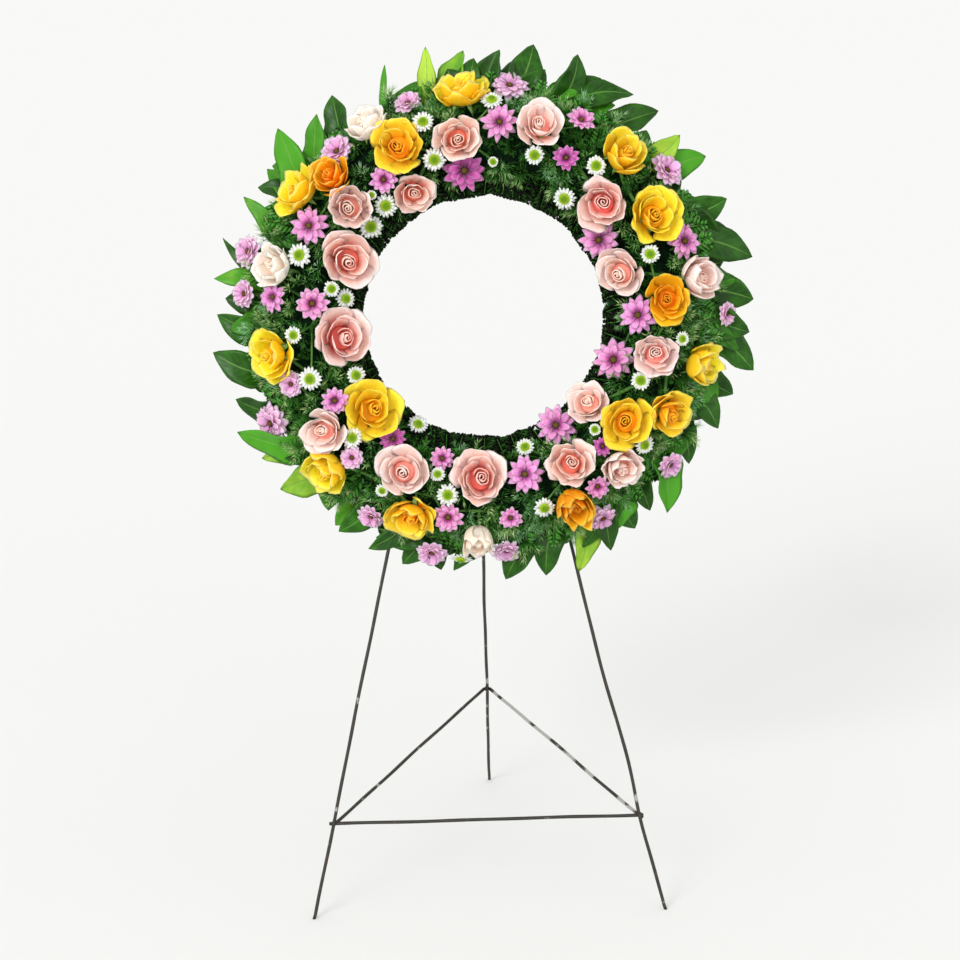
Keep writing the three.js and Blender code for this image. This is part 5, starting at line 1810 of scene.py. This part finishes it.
@dataclass
class Easel:
    """Welded wire easel: two front legs, a rear leg, a crossbar, two braces and the hoop with its claws."""

    ring: RingFrame
    wire: float = 4.0
    foot_spread: float = 205.0
    lines_meet: float = 890.5
    crossbar_slope: float = 111.0
    lap: float = 4.3
    hoop_radius: float = 196.0
    leg_lap: float = 12.0
    rear_foot: Pair = (4.0, 420.0)
    joint_share: float = 0.357
    # Air between wires that are welded on the real easel, and room for a wire's own straying
    clearance: float = 0.3
    room: float = 0.4
    # The right leg is bent: slope length and how far it strays sideways
    bends: tuple[Pair, ...] = ((60, 0), (108, -3), (160, 2), (280, -2), (400, 0))

    @property
    def bar_half(self) -> float:
        """Half the distance between the front legs at the crossbar."""
        return float(self.leg_line(self.crossbar_slope))

    def leg_line(self, slope: Array) -> Array:
        """Half the distance between the front legs at a slope length: spread (1 - slope / meeting)."""
        return self.foot_spread * (1 - np.asarray(slope) / self.lines_meet)

    def slope_points(self, x: Array, slope: Array, forward: Array) -> Array:
        """Ring points of the front legs' plane: sideways, up the slope and forward of it."""
        flat = np.stack(np.broadcast_arrays(x, slope, forward), axis=-1).astype(float)
        return flat - np.array([RING_SHIFT, RING_SLOPE, LEGS_BACK])

    def meets_hoop(self, side: int) -> float:
        """Slope length at which a front leg passes behind the hoop: the first of fine steps inside its circle.

        Args:
            side: -1 for the left leg, 1 for the right.

        Returns:
            The slope length in millimetres.
        """
        slopes = np.arange(RING_SLOPE - self.hoop_radius, RING_SLOPE, 0.5)
        off = np.hypot(side * self.leg_line(slopes) - RING_SHIFT, slopes - RING_SLOPE)
        return float(slopes[np.argmax(off <= self.hoop_radius)])

    def rod(self, path: Array, steps: int, seed: int) -> Patch:
        """A wire along straight or bent stops, never quite straight: it strays by a few tenths of a millimetre.

        Args:
            path: (m, 3) stops.
            steps: points between the ends.
            seed: of the straying.

        Returns:
            The wire as a round tube.
        """
        run = np.append(0, np.cumsum(np.linalg.norm(np.diff(path, axis=0), axis=1)))
        where = np.linspace(0, run[-1], steps)
        line = np.stack([np.interp(where, run, path[:, axis]) for axis in range(3)], axis=-1)
        dice = np.random.default_rng([31, seed])
        phase = dice.uniform(0, 2 * np.pi, (2, 3))
        sway = 0.35 * np.sin(where[:, None] / 47 + phase[0]) + 0.2 * np.sin(where[:, None] / 19 + phase[1])
        calm = smooth(where, 0, 30) * smooth(run[-1] - where, 0, 30)
        line = line + sway * calm[:, None]
        radius = 0.5 * self.wire * (1 + 0.03 * np.sin(where / 11 + phase[0, 0]))
        return tubes(line[None], radius[None], 14, np.array([[1, 0.5, 0.5]]))

    def weld(self, point: Array, along: Array, size: float, seed: int) -> Patch:
        """A weld bead: a ball drawn out to 1.3 times its size along the wire, and roughened.

        Args:
            point: the bead's middle.
            along: the wire's direction.
            size: the bead's radius.
            seed: of the roughening.

        Returns:
            The bead.
        """
        rows, sides = 9, 12
        swell = np.linspace(-np.pi / 2, np.pi / 2, rows)
        profile = np.stack([size * np.cos(swell), 1.3 * size * np.sin(swell)], axis=-1)
        profile[[0, -1], 0] = 0
        bead = turned(profile, sides, (1, 0.5, 0.5))
        dice = np.random.default_rng([57, seed])
        bead.points = bead.points * (1 + dice.uniform(-0.1, 0.14, (len(bead.points), 1)))
        return bead.moved(basis_along(unit(along), np.array(0.0)), point)

    def leg(self, side: int, name: str, bends: tuple[Pair, ...], finish: Material) -> None:
        """Makes a front leg, from below its foot's plane up behind the hoop, with the crossbar's weld bead.

        Args:
            side: -1 for the left leg, 1 for the right.
            name: of the side.
            bends: slope lengths and how far the leg strays there.
            finish: of the wire.
        """
        top = self.meets_hoop(side) + self.leg_lap
        slopes = np.array([-2, *[slope for slope, _ in bends], top])
        strays = np.array([0, *[off for _, off in bends], 0])
        knots = np.linspace(-2, top, 60)
        off = np.interp(knots, slopes, strays)
        off = np.convolve(np.pad(off, 3, mode="edge"), np.ones(7) / 7, mode="valid")
        path = self.slope_points(side * self.leg_line(knots) + off, knots, 0)
        joint = self.slope_points(side * self.leg_line(self.crossbar_slope), self.crossbar_slope, -2.2)
        piece = Piece(f"{name}_front_wire_leg")
        piece.add(self.rod(path, 90, 1 + side), finish)
        piece.add(self.weld(joint, path[10] - path[9], 2.9, 3 + side), finish)
        piece.build(self.ring, "easel_wire", f"{name}_front_leg", grounded=True)

    def crossbar(self, finish: Material) -> None:
        """Makes the crossbar, which laps the front legs from behind.

        Args:
            finish: of the wire.
        """
        bar = self.slope_points(np.array([-self.bar_half - 5, self.bar_half + 3]), self.crossbar_slope, -self.lap)
        piece = Piece("front_wire_crossbar", [(self.rod(bar, 60, 5), finish)])
        piece.build(self.ring, "easel_wire", "front_crossbar")

    def rear_leg(self, finish: Material) -> Array:
        """Makes the rear leg, bent at its top to run up behind the hoop's foot.

        Args:
            finish: of the wire.

        Returns:
            The point where the braces meet it.
        """
        hoop_bottom = RING_SLOPE - self.hoop_radius
        foot = self.ring.from_feet(np.array([[*self.rear_foot, 0.0]]))[0]
        bend = self.slope_points(self.rear_foot[0], hoop_bottom - 14, 0)
        top = self.slope_points(self.rear_foot[0], hoop_bottom + 10, 0)
        joint = foot + self.joint_share * (bend - foot)
        piece = Piece("rear_wire_leg")
        piece.add(self.rod(np.stack([foot - 0.004 * (bend - foot), bend, top]), 90, 6), finish)
        piece.add(self.weld(joint, bend - foot, 3.3, 7), finish)
        piece.build(self.ring, "easel_wire", "rear_leg", grounded=True)
        return joint

    def brace(self, side: int, name: str, joint: Array, finish: Material) -> None:
        """Makes a brace, from behind the crossbar's end to the rear leg.

        Args:
            side: -1 for the left brace, 1 for the right.
            name: of the side.
            joint: the point where the braces meet the rear leg.
            finish: of the wire.
        """
        start = self.slope_points(side * (self.bar_half - 4), self.crossbar_slope + 1, -2 * self.lap)
        end = joint + np.array([side * 3.7, 0, 0])
        wire = self.rod(np.stack([start, end]), 60, 9 + side)
        Piece(f"{name}_wire_brace", [(wire, finish)]).build(self.ring, "easel_wire", f"{name}_brace")

    def hoop(self, finish: Material) -> None:
        """Makes the hoop: a circle of wire with three claws that grip the tray's inner wall.

        Args:
            finish: of the wire.
        """
        back = -(0.5 * self.wire + self.clearance)
        turn = np.linspace(0, 2 * np.pi, 13)[:-1]
        circle = 0.5 * self.wire * np.stack([np.cos(turn), np.sin(turn)], axis=-1)
        piece = Piece("carrying_wire_hoop")
        section = circle + np.array([self.hoop_radius, back])
        piece.add(turned(section, 144, (1, 0.5, 0.5), closed=True), finish)
        tray_wall = RING_RADIUS - FOAM_HALF - FOAM_PLAY - TRAY_WALL
        claw = tray_wall - self.clearance - 0.5 * self.wire - self.room
        for number, clock in enumerate((0.0, 120.0, 240.0)):
            stops = ring_point(clock, np.array([self.hoop_radius, claw + 3, claw, claw]),
                               np.array([back, back, back + 3, 12.0]))
            piece.add(self.rod(stops, 24, 20 + number), finish)
        piece.build(self.ring, "easel_wire", "wreath_hoop")

    def build(self) -> None:
        """Makes the seven wires. The right brace gets more bare steel, a painted reflection where it shines
        brighter.
        """
        dark = WireFinish().material()
        # Painted reflection: more bare steel on the right brace, whose wire shines brighter
        bright = WireFinish(name="steel_wire_drawn_rubbed", rubbed=0.43).material()
        self.leg(-1, "left", (), dark)
        self.leg(1, "right", self.bends, dark)
        self.crossbar(dark)
        joint = self.rear_leg(dark)
        self.brace(-1, "left", joint, dark)
        self.brace(1, "right", joint, bright)
        self.hoop(dark)


# --- studio


@dataclass
class Studio:
    """A pale floor that runs out of sight, a soft sky, two wide soft lamps, and the camera."""

    ring: RingFrame
    eye: tuple[float, float, float] = (2.6, -2600.0, 1204.0)
    pitch: float = math.radians(14.65)
    roll: float = math.radians(-1.6)
    lens: float = 90.45
    pale: str = "#E3E3E2"
    sky: float = 0.955
    key: float = 1.7
    fill: float = 0.75

    def floor(self) -> None:
        """A plain matt floor that runs out of sight, its top at height 0."""
        mesh = bpy.data.meshes.new("studio_floor")
        corners = [(-90, -90, 0), (90, -90, 0), (90, 90, 0), (-90, 90, 0)]
        mesh.from_pydata(corners, [], [(0, 1, 2, 3)])
        look = Shading("studio_floor_matt_white")
        mesh.materials.append(look.finish(Base_Color=linear(self.pale), Roughness=0.95, Specular_IOR_Level=0.0))
        made = bpy.data.objects.new("studio_floor", mesh)
        bpy.context.scene.collection.objects.link(made)

    def lights(self) -> None:
        """An even sky, a soft key lamp from the upper left in front, and a low wide fill from the right."""
        world = bpy.data.worlds.new("studio_sky")
        world.use_nodes = True
        background = world.node_tree.nodes["Background"]
        background.inputs["Color"].default_value = linear("#FEFFFD")
        background.inputs["Strength"].default_value = self.sky
        bpy.context.scene.world = world
        for name, power, spread, toward in (
            ("studio_key_lamp", self.key, 26.0, (-0.5, -0.85, 0.5)),
            ("studio_fill_lamp", self.fill, 60.0, (0.4, -1.0, 0.08)),
        ):
            lamp = bpy.data.lights.new(name, "SUN")
            lamp.energy = power
            lamp.angle = math.radians(spread)
            made = bpy.data.objects.new(name, lamp)
            matrix = np.eye(4)
            matrix[:3, :3] = basis_along(unit(np.array(toward)), np.array(0.0)).T
            made.matrix_world = matrix_of(matrix)
            bpy.context.scene.collection.objects.link(made)

    def camera(self) -> None:
        """The photograph's view: its place over the floor, its pitch and its small roll."""
        right = np.array([1.0, 0.0, 0.0])
        ahead = np.array([0, math.cos(self.pitch), -math.sin(self.pitch)])
        up = np.array([0, math.sin(self.pitch), math.cos(self.pitch)])
        side = right * math.cos(self.roll) + up * math.sin(self.roll)
        top = -right * math.sin(self.roll) + up * math.cos(self.roll)
        matrix = np.eye(4)
        matrix[:3, :3] = np.stack([side, top, -ahead], axis=1)
        matrix[:3, 3] = self.ring.world(self.ring.from_feet(np.array([self.eye])))[0]
        data = bpy.data.cameras.new("studio_camera")
        data.sensor_width = 36
        data.lens = self.lens
        made = bpy.data.objects.new("studio_camera", data)
        made.matrix_world = matrix_of(matrix)
        bpy.context.scene.collection.objects.link(made)
        bpy.context.scene.camera = made

    def build(self) -> None:
        """Sets up the whole studio."""
        self.floor()
        self.lights()
        self.camera()
        bpy.context.scene.view_settings.view_transform = "Standard"


def matrix_of(values: Array) -> Matrix:
    """Blender's own matrix from an array of rows."""
    return Matrix(values.tolist())


def main() -> None:
    """Builds the wreath from the studio inwards and reports each piece."""
    logging.basicConfig(level=logging.INFO, format="%(message)s")
    ring = RingFrame.from_tray()
    Studio(ring).build()
    Easel(ring).build()
    FoamAndTray(ring).build()
    heads = settled_heads()
    Bouquet(ring, heads).build()
    LemonLeaves(ring).build()
    Fern(ring, heads).build()


if __name__ == "__main__":
    main()
